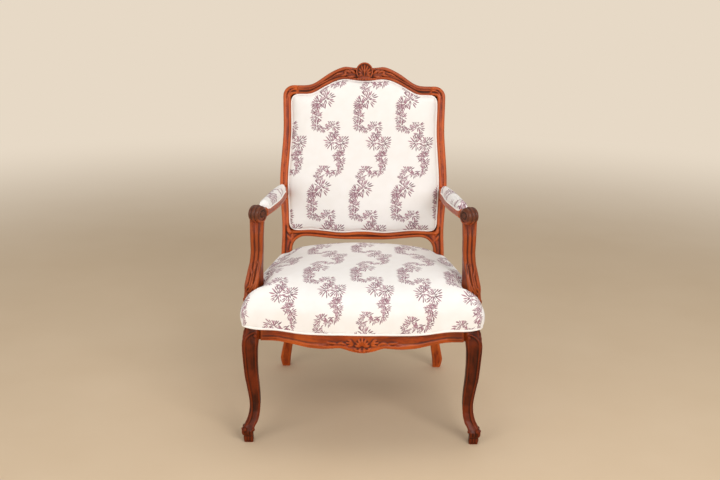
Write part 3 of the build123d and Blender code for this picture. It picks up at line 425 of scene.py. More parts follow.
class Nodes(Tree):
    """A new material and its node tree."""

    def __init__(self, name):
        self.material = bpy.data.materials.new(name)
        self.material.use_nodes = True
        super().__init__(self.material.node_tree)
        self.shader = self.tree.nodes["Principled BSDF"]

    def mix(self, share, first, second):
        node = self.add("ShaderNodeMix", data_type="RGBA", blend_type="MIX")
        self.feed(node, (0, 6, 7), (share, first, second))
        return node.outputs[2]

    def ramp(self, value, low, high, smooth=True):
        node = self.add("ShaderNodeMapRange", interpolation_type="SMOOTHSTEP" if smooth else "LINEAR")
        self.feed(node, (0, 1, 2), (value, low, high))
        return node.outputs[0]

    def noise(self, vector, scale, detail=3.0, rough=0.5, distortion=0.0):
        node = self.add("ShaderNodeTexNoise")
        self.feed(node, ("Vector", "Scale", "Detail", "Roughness", "Distortion"),
                  (vector, scale, detail, rough, distortion))
        return node.outputs["Fac"]

    def mapped(self, scale=(1, 1, 1)):
        node = self.add("ShaderNodeMapping")
        self.feed(node, ("Vector", "Scale"), (self.add("ShaderNodeTexCoord").outputs["Object"], scale))
        return node.outputs[0]

    def attribute(self, name, output="Fac"):
        return self.add("ShaderNodeAttribute", attribute_name=name).outputs[output]

    def uneven(self, value, clouds, reach):
        """A coordinate shifted back and forth by the clouds, by up to half of a reach."""
        return self.math("ADD", value, self.math("MULTIPLY", self.math("SUBTRACT", clouds, 0.5), reach))

    def bump(self, height, distance, normal=None):
        node = self.add("ShaderNodeBump")
        self.feed(node, ("Strength", "Distance", "Height"), (1.0, distance, height))
        if normal is not None:
            self.link(normal, node.inputs["Normal"])
        return node.outputs[0]

    def finish(self, **values):
        """Link or set inputs of the material's shader, named with spaces as underscores."""
        self.feed(self.shader, [key.replace("_", " ") for key in values], values.values())
        return self.material


def wood(name, along, light, middle, dark, wax_depth=0.80, carved=True, patina_and_shade=None, gloss=0.26):
    """Polished, antiqued timber with its grain along one axis and wax left in the hollows."""
    made = Nodes(name)
    stretch = [9.0, 9.0, 9.0]
    stretch[along] = 0.55
    streaks = made.noise(made.mapped(tuple(stretch)), 11.0, 5.0, 0.62, 0.6)
    pores = made.noise(made.mapped(tuple(60 if s > 1 else 3.0 for s in stretch)), 9.0, 2.0, 0.5)
    clouds = made.noise(made.mapped(), 14.0, 3.0, 0.55)
    tone = made.mix(made.ramp(streaks, 0.34, 0.64), dark, middle)
    tone = made.mix(made.math("MULTIPLY", made.ramp(clouds, 0.42, 0.72), 0.6), tone, light)
    tone = made.mix(made.math("MULTIPLY", made.ramp(pores, 0.60, 0.72), 0.45), tone, dark)
    rough = made.math("ADD", made.math("MULTIPLY", clouds, 0.18), 0.30)
    if carved:
        hollow = made.attribute("hollow")
        wax = made.ramp(hollow, 0.60, 1.0)
        worn = made.ramp(hollow, 0.42, 0.12)
        tone = made.mix(made.math("MULTIPLY", worn, 0.5), tone, light)
        tone = made.mix(made.math("MULTIPLY", wax, wax_depth), tone, WAX)
        rough = made.math("ADD", rough, made.math("MULTIPLY", wax, 0.3))
    # Laid over the tone: the knees' lighter rail tone, the arms' worn patina and painted shade on the front
    # rail's ends.
    if patina_and_shade is not None:
        tone = patina_and_shade(made, tone, clouds)
    return made.finish(Base_Color=tone, Roughness=rough, Specular_IOR_Level=gloss, Coat_Weight=gloss * 0.2,
                       Coat_Roughness=0.30, Normal=made.bump(pores, 0.00006, made.bump(streaks, 0.0001)))


def knee_light(made, tone, clouds):
    """Carry the rail's lighter tone over the inner top of each front leg."""
    x, _, z = made.split(made.mapped())
    across = made.uneven(made.math("ABSOLUTE", x), clouds, 0.02)
    share = made.math("MULTIPLY", made.ramp(across, 0.302, 0.282), made.ramp(z, 0.270, 0.325))
    return made.mix(made.math("MULTIPLY", share, 0.7), tone, colour(134, 52, 10))


def shaded_rail_ends(made, tone, clouds):
    """Darken the front rail's ends with painted shade, where they run into the knees."""
    x, _, _ = made.split(made.mapped())
    across = made.uneven(made.math("ABSOLUTE", x), clouds, 0.04)
    return made.mix(made.math("MULTIPLY", made.ramp(across, 0.215, 0.285), 0.55), tone, colour(84, 30, 6))


def handled(made, tone, clouds):
    """Darken the scrolls at the front of the arms, where hands have worn the polish."""
    _, y, z = made.split(made.mapped())
    near = made.uneven(y, clouds, 0.05)
    low = made.math("SUBTRACT", 1.0, made.ramp(z, 0.627, 0.603))
    share = made.math("MULTIPLY", made.ramp(near, -0.125, -0.160), low)
    return made.mix(made.math("MULTIPLY", share, 0.84), tone, colour(62, 38, 26))


WAX = colour(46, 20, 8)
WOOD_LIGHT = colour(200, 96, 34)
WOOD_MIDDLE = colour(164, 64, 16)
WOOD_DARK = colour(112, 36, 8)
WALNUT = {axis: wood(f"walnut_along_{'xyz'[axis]}", axis, WOOD_LIGHT, WOOD_MIDDLE, WOOD_DARK)
          for axis in range(3)}
CREST_WALNUT = wood("walnut_crest", 0, colour(180, 86, 38), colour(142, 58, 22), colour(98, 34, 12))
ARM_WALNUT = wood("walnut_arm", 1, WOOD_LIGHT, WOOD_MIDDLE, WOOD_DARK, patina_and_shade=handled)
CONSOLE_WALNUT = wood("walnut_console", 2, colour(172, 80, 26), colour(132, 50, 12), colour(84, 28, 6),
                      wax_depth=0.62, patina_and_shade=handled)
# The front rail's ends get painted shade where they run into the knees.
RAIL_WALNUT = wood("walnut_rail", 0, colour(184, 84, 18), colour(148, 56, 8), colour(98, 32, 4),
                   patina_and_shade=shaded_rail_ends)
LEG_WALNUT = wood("walnut_leg", 2, colour(122, 44, 8), colour(76, 25, 3), colour(40, 13, 2), gloss=0.16,
                  patina_and_shade=knee_light)
PLAIN_WALNUT = wood("walnut_plain", 0, colour(150, 72, 34), colour(118, 50, 22), colour(84, 34, 16),
                    carved=False)
PLAIN_WALNUT_SIDE = wood("walnut_plain_side", 1, WOOD_LIGHT, WOOD_MIDDLE, WOOD_DARK, carved=False)
BEECH = wood("beech_plain", 2, colour(214, 178, 132), colour(196, 152, 104), colour(170, 124, 80),
             carved=False)


# ---------------------------------------------------------------- printed linen
# The print: the distance between trails and where they start, a trail's period, its lean per metre up
# the back, and where its top lies.
COLUMN_PITCH = 0.132
COLUMN_SHIFT = 0.021
TRAIL_PERIOD = 0.277
TRAIL_LEAN = 0.0425
TRAIL_START = 0.0465
# One period of the waving trail, from its top: across, down, leaf length (mm), the way the fan opens
# and half the angle that it fills (degrees).
SPRIGS = [(-13, 7.9, 27, 5, 175), (-36, 19.5, 22, 175, 150), (-42, 33.5, 13, 95, 120),
          (-44, 46.5, 13, 120, 175), (-38, 62.5, 20, 150, 170), (-37, 89.5, 19, 200, 150),
          (-18, 95.5, 17, 275, 130), (13, 93.5, 23, 72, 150), (17, 113.5, 17, 285, 120),
          (12, 142.0, 25, 195, 160), (42, 144.0, 26, 15, 170), (41, 171.0, 14, 270, 120),
          (36, 188.0, 19, 165, 150), (40, 203.0, 19, 5, 150), (33, 228.5, 19, 320, 140),
          (12, 237.5, 15, 255, 130), (-10, 231.0, 21, 105, 140), (-22, 249.5, 17, 245, 130)]
CELL = TRAIL_PERIOD / len(SPRIGS)
# The most that the tables hold: a fan's place across and down from its cell (mm) and its leaf length.
MOST_ACROSS, MOST_DOWN, MOST_LENGTH = 60, 30, 40
# A fan's leaves: the radius of the longest fan, how many leaves each ring has, how far they sway from
# even spacing, how full they are, how sharp their edge is, and the share of them that is left out.
FULL_LENGTH = 0.047
INNER_LEAVES = 11
OUTER_LEAVES = 21
LEAF_SWAY = 0.4
LEAF_BELLY, LEAF_LEAST = 0.27, 0.0028
LEAF_SHARPNESS = 4200.0
LEAVES_LOST = 0.08
INK_LIGHT, INK_DARK = colour(176, 122, 138), colour(84, 34, 54)


def ramp_table(group, position, rows):
    """Look up one of a few rows of three values, each from 0 to 1, by a position from 0 to 1."""
    node = group.add("ShaderNodeValToRGB")
    ramp = node.color_ramp
    ramp.interpolation = "CONSTANT"
    for number, row in enumerate(rows):
        stop = ramp.elements[0] if number == 0 else ramp.elements.new(number / len(rows))
        stop.color = (*row, 1.0)
    ramp.elements.remove(ramp.elements[-1])
    group.link(position, node.inputs[0])
    return group.split(node.outputs[0], "Color")


def sprig_group():
    """A node group that draws one fan of leaves of the trail: its cover, and the tone of each leaf."""
    group = Tree(bpy.data.node_groups.new("leaf_sprig", "ShaderNodeTree"))
    for name in ("Across", "Down", "Step"):
        group.tree.interface.new_socket(name, in_out="INPUT", socket_type="NodeSocketFloat")
    for name in ("Cover", "Tone"):
        group.tree.interface.new_socket(name, in_out="OUTPUT", socket_type="NodeSocketFloat")
    start, end = group.add("NodeGroupInput"), group.add("NodeGroupOutput")
    work = group.math

    def chance(first, second):
        """Three random values that belong to a pair of numbers."""
        node = group.add("ShaderNodeTexWhiteNoise", noise_dimensions="2D")
        group.link(group.joined(first, second), node.inputs["Vector"])
        return group.split(node.outputs["Color"], "Color")

    def unpacked(value, most):
        """A length in metres from its share of a table's range, which reaches as far both ways."""
        return work("SUBTRACT", work("MULTIPLY", value, most / 500), most / 1000)

    down, across, step = (start.outputs[name] for name in ("Down", "Across", "Step"))
    number = work("ADD", work("FLOOR", work("DIVIDE", down, CELL)), step)
    row = work("FLOORED_MODULO", number, float(len(SPRIGS)))
    share = work("DIVIDE", work("ADD", row, 0.5), float(len(SPRIGS)))
    even = [(index + 0.5) * CELL * 1000 for index in range(len(SPRIGS))]
    where = ramp_table(group, share, [((s[0] + MOST_ACROSS) / (2 * MOST_ACROSS),
                                       (s[1] - e + MOST_DOWN) / (2 * MOST_DOWN), s[2] / MOST_LENGTH)
                                      for s, e in zip(SPRIGS, even)])
    opening = ramp_table(group, share, [(s[3] / 360, s[4] / 180, 0) for s in SPRIGS])
    right = work("SUBTRACT", across, unpacked(where[0], MOST_ACROSS))
    centre = work("ADD", work("MULTIPLY", work("ADD", number, 0.5), CELL), unpacked(where[1], MOST_DOWN))
    up = work("SUBTRACT", centre, down)
    turned = group.add("ShaderNodeVectorRotate", rotation_type="Z_AXIS")
    group.link(group.joined(right, up), turned.inputs["Vector"])
    group.link(work("MULTIPLY", opening[0], -2 * math.pi), turned.inputs["Angle"])
    ahead = group.split(turned.outputs[0])
    angle = work("ARCTAN2", ahead[1], ahead[0])
    radius = work("SQRT", work("ADD", work("MULTIPLY", right, right), work("MULTIPLY", up, up)))
    full = work("MULTIPLY", where[2], FULL_LENGTH)

    def ring(leaves, seed, start_at, reach):
        """One ring of a fan's leaves: their cover and tone."""
        spacing = 2 * math.pi / leaves
        leaf = work("ADD", work("FLOOR", work("DIVIDE", angle, spacing)), 0.5)
        luck = chance(row, work("ADD", leaf, seed))
        lean = work("SUBTRACT", angle, work("MULTIPLY", leaf, spacing))
        lean = work("ADD", lean, work("MULTIPLY", work("SUBTRACT", luck[0], 0.5), spacing * LEAF_SWAY))
        length = work("MULTIPLY", full, work("ADD", work("MULTIPLY", luck[1], reach * 0.5), reach * 0.6))
        root = work("MULTIPLY", full, work("ADD", work("MULTIPLY", luck[2], start_at * 0.5), start_at))
        along = work("DIVIDE", work("SUBTRACT", radius, root), length, clamp=True)
        off = work("ABSOLUTE", work("MULTIPLY", radius, work("SINE", lean)))
        belly = work("MULTIPLY", work("MULTIPLY", along, work("SUBTRACT", 1.0, along)),
                     work("ADD", work("MULTIPLY", length, LEAF_BELLY), LEAF_LEAST))
        inside = work("MULTIPLY", work("SUBTRACT", belly, off), LEAF_SHARPNESS, clamp=True)
        open_to = work("LESS_THAN", work("ABSOLUTE", work("MULTIPLY", leaf, spacing)),
                       work("MULTIPLY", opening[1], math.pi))
        kept = work("GREATER_THAN", work("FRACT", work("MULTIPLY", luck[0], 7.3)), LEAVES_LOST)
        edge = work("DIVIDE", off, work("MAXIMUM", belly, 0.0001), clamp=True)
        shade = work("ADD", work("MULTIPLY", luck[2], 0.6),
                     work("MULTIPLY", work("SUBTRACT", 1.0, along), 0.25))
        return work("MULTIPLY", inside, work("MULTIPLY", kept, open_to)), work(
            "ADD", shade, work("MULTIPLY", edge, 0.22))

    inner, inner_tone = ring(INNER_LEAVES, 31.0, 0.04, 0.56)
    outer, outer_tone = ring(OUTER_LEAVES, 0.0, 0.30, 0.60)
    group.link(work("MAXIMUM", inner, outer), end.inputs["Cover"])
    group.link(work("ADD", work("MULTIPLY", outer_tone, outer),
                    work("MULTIPLY", inner_tone, work("SUBTRACT", 1.0, outer))), end.inputs["Tone"])
    return group.tree


def printed_linen():
    """White linen printed with waving trails of small leaf sprigs, woven and slightly napped."""
    made = Nodes("printed_linen")
    group = sprig_group()
    place = made.attribute("cloth", "Vector")
    x, y, _ = made.split(place)
    column = made.math("FLOOR", made.math("DIVIDE", x, COLUMN_PITCH))
    middle = made.math("MULTIPLY", made.math("ADD", column, 0.5), COLUMN_PITCH)
    across = made.math("SUBTRACT", x, middle)
    cover, tone = None, None
    for step in (-2.0, -1.0, 0.0, 1.0, 2.0):
        sprig = made.add("ShaderNodeGroup", node_tree=group)
        made.feed(sprig, ("Across", "Down", "Step"), (across, y, step))
        on_top, shade = sprig.outputs["Cover"], sprig.outputs["Tone"]
        if cover is not None:
            shade = made.math("ADD", made.math("MULTIPLY", tone, made.math("SUBTRACT", 1.0, on_top)),
                              made.math("MULTIPLY", shade, on_top))
            on_top = made.math("MAXIMUM", cover, on_top)
        cover, tone = on_top, shade
    ink = made.ramp(made.noise(place, 900.0, 2.0), 0.25, 0.55)
    leaf = made.mix(made.ramp(tone, 0.05, 0.95, False), INK_LIGHT, INK_DARK)
    ground = made.mix(made.noise(place, 30.0, 2.0), colour(241, 239, 236), colour(234, 230, 224))
    strength = made.math("MULTIPLY", cover, made.math("ADD", made.math("MULTIPLY", ink, 0.18), 0.80))
    return woven(made, place, made.mix(strength, ground, leaf))


def woven(made, place, tint):
    """Finish a cloth material with its crossing threads and soft sheen."""
    threads = []
    for axis in ("X", "Y"):
        wave = made.add("ShaderNodeTexWave", wave_type="BANDS", bands_direction=axis)
        made.feed(wave, ("Vector", "Scale", "Distortion", "Detail"), (place, 330.0, 1.2, 1.0))
        threads.append(wave.outputs["Fac"])
    height = made.math("ADD", made.math("ADD", *threads), made.noise(place, 420.0, 2.0))
    return made.finish(Base_Color=tint, Normal=made.bump(height, 0.00012), Roughness=0.88,
                       Sheen_Weight=0.12, Sheen_Roughness=0.5)


def plain_cloth(name, light, dark, scale=330.0):
    """An unprinted woven cloth."""
    made = Nodes(name)
    place = made.mapped()
    return woven(made, place, made.mix(made.noise(place, scale, 2.0), light, dark))


def steel():
    """Dull screw steel."""
    made = Nodes("screw_steel")
    spots = made.noise(made.mapped(), 260.0, 3.0)
    return made.finish(Base_Color=made.mix(spots, colour(150, 146, 140), colour(104, 98, 92)),
                       Roughness=made.math("ADD", made.math("MULTIPLY", spots, 0.25), 0.3), Metallic=1.0)


LINEN = printed_linen()
PIPING = plain_cloth("piping_linen", colour(246, 243, 238), colour(236, 231, 224))
WEBBING = plain_cloth("webbing_jute", colour(176, 146, 104), colour(138, 108, 72), 160.0)
HESSIAN = plain_cloth("hessian_jute", colour(190, 162, 118), colour(150, 122, 82), 190.0)
STEEL = steel()


# ---------------------------------------------------------------- carved frame
def carved_piece(shape, name, voxel):
    """The model's solid and its carving, fused and eased."""
    piece = piece_from(shape, name)
    remeshed(piece, voxel)
    smoothed(piece, WOOD_ROUNDS)
    return piece


def finish_wood(piece, material, replaced):
    """Mark a carved piece's hollows for the wax and settle it."""
    mark_hollows(piece)
    settle(piece, material, "walnut", replaced)


def wooden(name, shape, voxel, material, replaced):
    """One carved wooden piece."""
    finish_wood(carved_piece(shape, name, voxel), material, replaced)


def wooden_pair(name, shape, voxel, material):
    """A right-hand wooden piece and the left-hand one that mirrors it."""
    right = carved_piece(shape, f"{name}_right_carved", voxel)
    left = mirrored(right, f"{name}_left_carved")
    finish_wood(right, material, f"{name}_right")
    finish_wood(left, material, f"{name}_left")


def crest_rise(x):
    """The rise of the crest band's middle at a distance across."""
    return float(np.interp(abs(x), *zip(*CREST_LINE)))


# The leaves along the crest band: where each starts and ends across, how far its two ends are lifted,
# its width and how far its middle bows.
BAND_LEAVES = [(0.026, 0.050, -0.002, 0.009, 0.0042, 0.004), (0.028, 0.056, -0.006, -0.009, 0.0040, -0.003),
               (0.040, 0.066, 0.000, 0.006, 0.0040, 0.004), (0.050, 0.078, -0.002, -0.006, 0.0036, -0.002),
               (0.064, 0.104, 0.001, 0.000, 0.0034, 0.002)]


def band_leaf(shape, side, start, end, lift_start, lift_end, width, rise):
    """A leaf lying along the crest band, between two distances across."""
    middle = (start + end) / 2
    path = [on_back(side * start, crest_rise(start) + lift_start),
            on_back(side * middle, crest_rise(middle) + (lift_start + lift_end) / 2 + rise, 0.003),
            on_back(side * end, crest_rise(end) + lift_end)]
    strand(shape, path, width, 0.003, BACK_OUT, taper=(0.45, 0.6))


def carve_crest(shape):
    """The shell cartouche in the middle of the crest and the leaf scrolls beside it."""
    middle = 0.601
    tree = BVHTree.FromBMesh(shape)
    for side in (-1, 1):
        channel_bead(shape, tree, CREST_BEAD, side, stations=80, taper=(0.01, 0.3))
    for turn in range(9):
        angle = math.radians(-32 + turn * 244 / 8)
        spoke = Vector((math.cos(angle), math.sin(angle), 0))
        inner = on_back(spoke.x * 0.006, middle - 0.009 + spoke.y * 0.006, 0.0075)
        outer = on_back(spoke.x * 0.0205, middle + spoke.y * 0.0215, 0.0085)
        strand(shape, [inner, outer], 0.0030, 0.0032, BACK_OUT, sides=8, stations=10, taper=(0.5, 0.3))
    rim = [on_back(math.cos(a) * 0.0245, middle + math.sin(a) * 0.0260, 0.0080)
           for a in np.radians(np.linspace(-42, 222, 15))]
    strand(shape, rim, 0.0024, 0.0030, BACK_OUT, stations=40, taper=(0.08, 0.08))
    strand(shape, [on_back(0, middle - 0.016, 0.0085), on_back(0, middle + 0.018, 0.0105)],
           0.0034, 0.0034, BACK_OUT, taper=(0.5, 0.5))
    for side in (-1, 1):
        ball(shape, on_back(side * 0.0290, 0.6085, 0.0025), 0.0042, 0.8, BACK_OUT)
        ball(shape, on_back(side * 0.0325, 0.5990, 0.0020), 0.0034, 0.8, BACK_OUT)
        for turn in range(3):
            reach = 0.005 + turn * 0.0085
            strand(shape, [on_back(side * reach * 0.7, 0.5830, 0.0045),
                           on_back(side * reach, 0.5770, 0.0055),
                           on_back(side * (reach + 0.004), 0.5725 + turn * 0.0012, 0.0020)],
                   0.0036, 0.0032, BACK_OUT, stations=12)
        for leaf in BAND_LEAVES:
            band_leaf(shape, side, *leaf)
        ball(shape, on_back(side * 0.0600, crest_rise(0.06) + 0.001, 0.0010), 0.0042, 0.7, BACK_OUT)
    return shape


def on_surface(tree, point):
    """The point of a surface nearest to a place, and the way the surface faces there."""
    return tree.find_nearest(Vector(point))[:2]


def ridge(shape, tree, path, width, height, taper=(0.05, 0.05), stations=60):
    """A raised bead that follows a surface close to a path."""
    line = [on_surface(tree, p)[0] for p in curve_through(path, 40)]
    line = softened(np.array([tuple(p) for p in line]), 4)
    strand(shape, [Vector(p) for p in line], width, height,
           lambda centre: on_surface(tree, centre)[1], sides=8, stations=stations, taper=taper)


def rail_point(tree, x, height, proud):
    """A point on the front rail's face, seen from the front."""
    found = tree.ray_cast(Vector((x, -1, height)), Vector((0, 1, 0)))[0]
    if found is None:
        found = Vector((x, -0.35, height))
    return found + Vector((0, -proud, 0))


def rail_strand(shape, tree, run, width, height, proud=0.001, **more):
    """A strand on the front rail through points given as across and height."""
    strand(shape, [rail_point(tree, x, z, proud) for x, z in run], width, height, (0, -1, 0), **more)


def bow(x):
    """How much fuller the front's serpentine is than the model's, at a distance across."""
    x = np.abs(x)
    return 0.006 * smoothstep(x, 0.03, 0.12) * (1 - smoothstep(x, 0.19, 0.265))


# Strands beside the rail's palmette: points across and up its face, width and height.
HUSKS = [([(0.002, 0.2990), (0.013, 0.2940), (0.020, 0.2985), (0.016, 0.3025)], 0.0026, 0.0034),
         ([(0.003, 0.2965), (0.006, 0.2905), (0.001, 0.2870)], 0.0030, 0.0036),
         *(([(0.024, 0.3075 + lift * 0.3), (0.034, 0.3095 + lift), (reach, 0.3080 + lift * 1.2)],
            0.0031, 0.0036) for lift, reach in ((0.012, 0.040), (0.005, 0.045), (-0.002, 0.040))),
         ([(0.042, 0.3080), (0.056, 0.3130), (0.070, 0.3110)], 0.0036, 0.0034),
         ([(0.064, 0.3090), (0.080, 0.3120), (0.098, 0.3125)], 0.0030, 0.0030)]


def carve_front_rail(shape):
    """The palmette and husks in the middle of the front rail, and the line above its lower edge."""
    bmesh.ops.subdivide_edges(shape, edges=[e for e in shape.edges if e.calc_length() > 0.03], cuts=6)
    bmesh.ops.triangulate(shape, faces=shape.faces)
    for vert in shape.verts:
        if vert.co.y < -0.300:
            vert.co.y -= float(bow(vert.co.x))
        low = float(np.clip((0.325 - vert.co.z) / 0.027, 0, 1))
        vert.co.z += low * float(np.interp(abs(vert.co.x), *zip(*RAIL_SHIFT)))
    tree = BVHTree.FromBMesh(shape)
    for turn in range(7):
        angle = math.radians(18 + turn * 24)
        way = (math.cos(angle), math.sin(angle))
        reach = 0.0255 if turn in (2, 3, 4) else 0.0215
        rail_strand(shape, tree, [(way[0] * 0.006, 0.3015 + way[1] * 0.004),
                                  (way[0] * reach * 0.62, 0.3015 + way[1] * reach * 0.62),
                                  (way[0] * reach, 0.3015 + way[1] * reach)],
                    0.0034, 0.0040, taper=(0.6, 0.35))
    for side in (-1, 1):
        for run, width, height in HUSKS:
            rail_strand(shape, tree, [(side * x, z) for x, z in run], width, height)
        low = [(side * x, z + 0.0118) for x, z in RAIL_LOW]
        rail_strand(shape, tree, low, 0.0012, 0.0018, proud=0.0002, stations=70, sides=6, taper=(0.02, 0.02))
    return shape


def leg_at(height, out_share, front_share):
    """A point on the right leg's section: 1 is its outer or front face, 0 its inner or rear one."""
    heights, reaches, widths = zip(*LEG_STATIONS)
    reach, width = np.interp(height, heights, reaches), np.interp(height, heights, widths)
    return Vector((LEG_CORNER.x + reach - width * (1 - out_share),
                   LEG_CORNER.y - reach + width * (1 - front_share), height))


def carve_leg(shape):
    """The corner beads, the knee's scroll and leaves and the scrolled toe of the right front leg."""
    for vert in shape.verts:
        toe = float(np.interp(vert.co.z, (0, 0.018, 0.045, 0.070, 0.100, 0.135),
                              (0.001, 0.002, 0.004, 0.0045, 0.002, 0)))
        draw_in = 0.0025 * smoothstep(vert.co.z, 0.17, 0.27) + 0.0045 * smoothstep(vert.co.z, 0.300, 0.340)
        vert.co.x += toe - float(draw_in * smoothstep(vert.co.x, 0.300, 0.325))
        vert.co.y -= toe - float(draw_in * smoothstep(-vert.co.y, 0.290, 0.315))
    tree = BVHTree.FromBMesh(shape)
    scroll = [Vector((0.286, -0.3215, 0.3275)), Vector((0.296, -0.323, 0.3300)),
              Vector((0.307, -0.323, 0.3260)), Vector((0.3160, -0.322, 0.3150))]
    for start, out_share, front_share, width, height in (
            (scroll, 0.86, 1.0, 0.0026, 0.0026), ([], 0.06, 1.0, 0.0020, 0.0022),
            ([], 1.0, 0.06, 0.0020, 0.0022), ([], 1.0, 0.86, 0.0024, 0.0024)):
        down = [leg_at(h, out_share, front_share) for h in (0.305, 0.27, 0.23, 0.19, 0.15, 0.11, 0.075, 0.05)]
        ridge(shape, tree, start + down, width, height)
    for turn in range(4):
        high = 0.335 - turn * 0.014
        for shares in (((0.99, 0.80), (1.0, 0.99), (0.94, 1.0)),
                       ((1.0, 0.75), (1.0, 0.55), (1.0, 0.50 - turn * 0.06))):
            leaf = [leg_at(high - drop, *share) for drop, share in zip((0, 0.012, 0.030), shares)]
            ridge(shape, tree, leaf, 0.0038, 0.0030, taper=(0.5, 0.7), stations=16)
    ball(shape, (0.2945, -0.3195, 0.3190), 0.0055, 0.7)
    for out_share, front_share in ((0.86, 1.0), (0.14, 1.0), (1.0, 0.86), (1.0, 0.14)):
        foot, way = on_surface(tree, leg_at(0.039, out_share, front_share))
        ball(shape, foot, 0.0052, 0.8, way)
    for share in (0.25, 0.5, 0.75):
        for grooved in ((share, 1.0), (1.0, share)):
            ridge(shape, tree, [leg_at(0.003, *grooved), leg_at(0.020, *grooved)], 0.0024, 0.0016,
                  taper=(0.3, 0.3), stations=10)
    return shape


# The scrolled hand rest's middle, size and turn, and where the arm behind it ends.
KNUCKLE = Vector((0.2965, -0.1800, 0.6312))
KNUCKLE_RADIUS = 0.0250
KNUCKLE_LENGTH = 0.034
KNUCKLE_TURN = math.radians(33)
ARM_END = -0.160


def knuckle_scroll(shape):
    """The scrolled hand rest: three round lobes turned about an axis that swings outwards."""
    half = KNUCKLE_LENGTH / 2
    profile = [(-half, 0.0), (-half, 0.6), (-half * 0.99, 0.78)]
    for lobe in range(3):
        for angle in np.linspace(-68, 68, 7):
            along = (lobe - 1) * KNUCKLE_LENGTH / 3 + math.sin(math.radians(angle)) * KNUCKLE_LENGTH / 6.2
            crown = (0.83, 0.90, 0.83)[lobe]
            profile.append((along * 0.985, crown + 0.12 * math.cos(math.radians(angle * 1.25))))
    profile += [(half * 0.99, 0.78), (half, 0.6), (half, 0.0)]
    verts = [shape.verts.new((along, 0, share * KNUCKLE_RADIUS)) for along, share in profile]
    edges = [shape.edges.new(pair) for pair in zip(verts, verts[1:])]
    bmesh.ops.spin(shape, geom=verts + edges, axis=(1, 0, 0), cent=(0, 0, 0), angle=2 * math.pi,
                   steps=48, use_merge=True, dvec=(0, 0, 0))

    def turned():
        """The new scroll's points, which are still at the origin."""
        return [v for v in shape.verts if abs(v.co.x) <= half + 1e-6 and v.co.length < 0.04]

    bmesh.ops.remove_doubles(shape, verts=turned(), dist=1e-6)
    ring = turned()
    bmesh.ops.recalc_face_normals(shape, faces=list({f for v in ring for f in v.link_faces}))
    turn = Matrix.Rotation(KNUCKLE_TURN, 4, "Z")
    for vert in ring:
        vert.co = turn @ vert.co + KNUCKLE
    sweep = 3.4 * math.pi
    for side in (-1, 1):
        spiral = []
        for angle in np.linspace(0, sweep, 44):
            radius = KNUCKLE_RADIUS * (0.84 - 0.66 * angle / sweep)
            spot = Vector((side * (half + 0.0002), math.sin(angle) * radius, -math.cos(angle) * radius))
            spiral.append(turn @ spot + KNUCKLE)
        facing = turn @ Vector((side, 0, 0))
        strand(shape, spiral, 0.0021, 0.0021, facing, stations=80, taper=(0.04, 0.04))
        ball(shape, turn @ Vector((side * half, 0, 0)) + KNUCKLE, 0.0048, 0.8, facing)


def pad_bed(forth):
    """The height of the arm's top, on which its pad lies, at distances along it."""
    return np.interp(forth, (-0.128, 0.214), (0.631, 0.604))


def carve_arm(shape):
    """The arm, slimmed below its pad, with its scroll and the bead along its lower edge."""
    cut = bmesh.ops.bisect_plane(shape, geom=[*shape.verts, *shape.edges, *shape.faces],
                                 plane_co=(0, ARM_END, 0), plane_no=(0, -1, 0), clear_outer=True)["geom_cut"]
    bmesh.ops.holes_fill(shape, edges=[e for e in cut if isinstance(e, bmesh.types.BMEdge)])
    bmesh.ops.triangulate(shape, faces=[f for f in shape.faces if len(f.verts) > 4])
    for vert in shape.verts:
        bed = float(pad_bed(vert.co.y)) - 0.005
        slim = float(smoothstep(vert.co.y, -0.158, -0.120))
        if vert.co.z < bed:
            vert.co.z += (bed - vert.co.z) * 0.28 * slim
        neck = 1 - 0.34 * float(smoothstep(-vert.co.y, 0.134, -ARM_END))
        vert.co.x = KNUCKLE.x + (vert.co.x - KNUCKLE.x) * neck
        vert.co.z = KNUCKLE.z - 0.003 + (vert.co.z - KNUCKLE.z + 0.003) * neck
    tree = BVHTree.FromBMesh(shape)
    for sign in (-1, 1):
        line = [Vector((0.283 + sign * 0.022, -0.120, 0.617)), Vector((0.268 + sign * 0.021, 0.0, 0.603)),
                Vector((0.255 + sign * 0.020, 0.120, 0.596)), Vector((0.251 + sign * 0.018, 0.200, 0.592))]
        ridge(shape, tree, line, 0.0018, 0.0018, stations=70)
    knuckle_scroll(shape)
    return shape


SUPPORT_TWIST = math.radians(24)


def carve_support(shape):
    """The arm support's flutes, swept outwards at the foot into a leaf."""
    bmesh.ops.subdivide_edges(shape, edges=[e for e in shape.edges if e.calc_length() > 0.02], cuts=7)
    bmesh.ops.triangulate(shape, faces=shape.faces)
    for vert in shape.verts:
        height = vert.co.z
        share = float(smoothstep(-height, -0.520, -0.405) * smoothstep(height, 0.366, 0.398))
        angle = SUPPORT_TWIST * share
        middle_x = float(np.interp(height, (0.375, 0.45, 0.53), (0.3085, 0.3035, 0.2995)))
        middle_y = float(np.interp(height, (0.375, 0.45, 0.53), (-0.190, -0.182, -0.172)))
        x, y = vert.co.x - middle_x, vert.co.y - middle_y
        fuller = 0.0045 * float(smoothstep(height, 0.400, 0.430) * (1 - smoothstep(height, 0.45, 0.53)))
        vert.co.x = middle_x + x * math.cos(angle) - y * math.sin(angle) + fuller
        vert.co.y = middle_y + x * math.sin(angle) + y * math.cos(angle)
        vert.co.y += 0.0190 * float(smoothstep(height, 0.556, 0.606) * smoothstep(-vert.co.y, 0.172, 0.212))
        vert.co.z += 0.0120 * float(smoothstep(height, 0.588, 0.606) * smoothstep(-vert.co.y, 0.165, 0.180))
    tree = BVHTree.FromBMesh(shape)
    for turn in range(5):
        x = 0.284 + turn * 0.0085
        ridge(shape, tree, [Vector((x - 0.004, -0.206, 0.500)), Vector((x + 0.001, -0.213, 0.460)),
                            Vector((x + 0.010, -0.218, 0.430)), Vector((x + 0.022, -0.214, 0.408))],
              0.0026, 0.0030, taper=(0.7, 0.25), stations=34)
    return shape


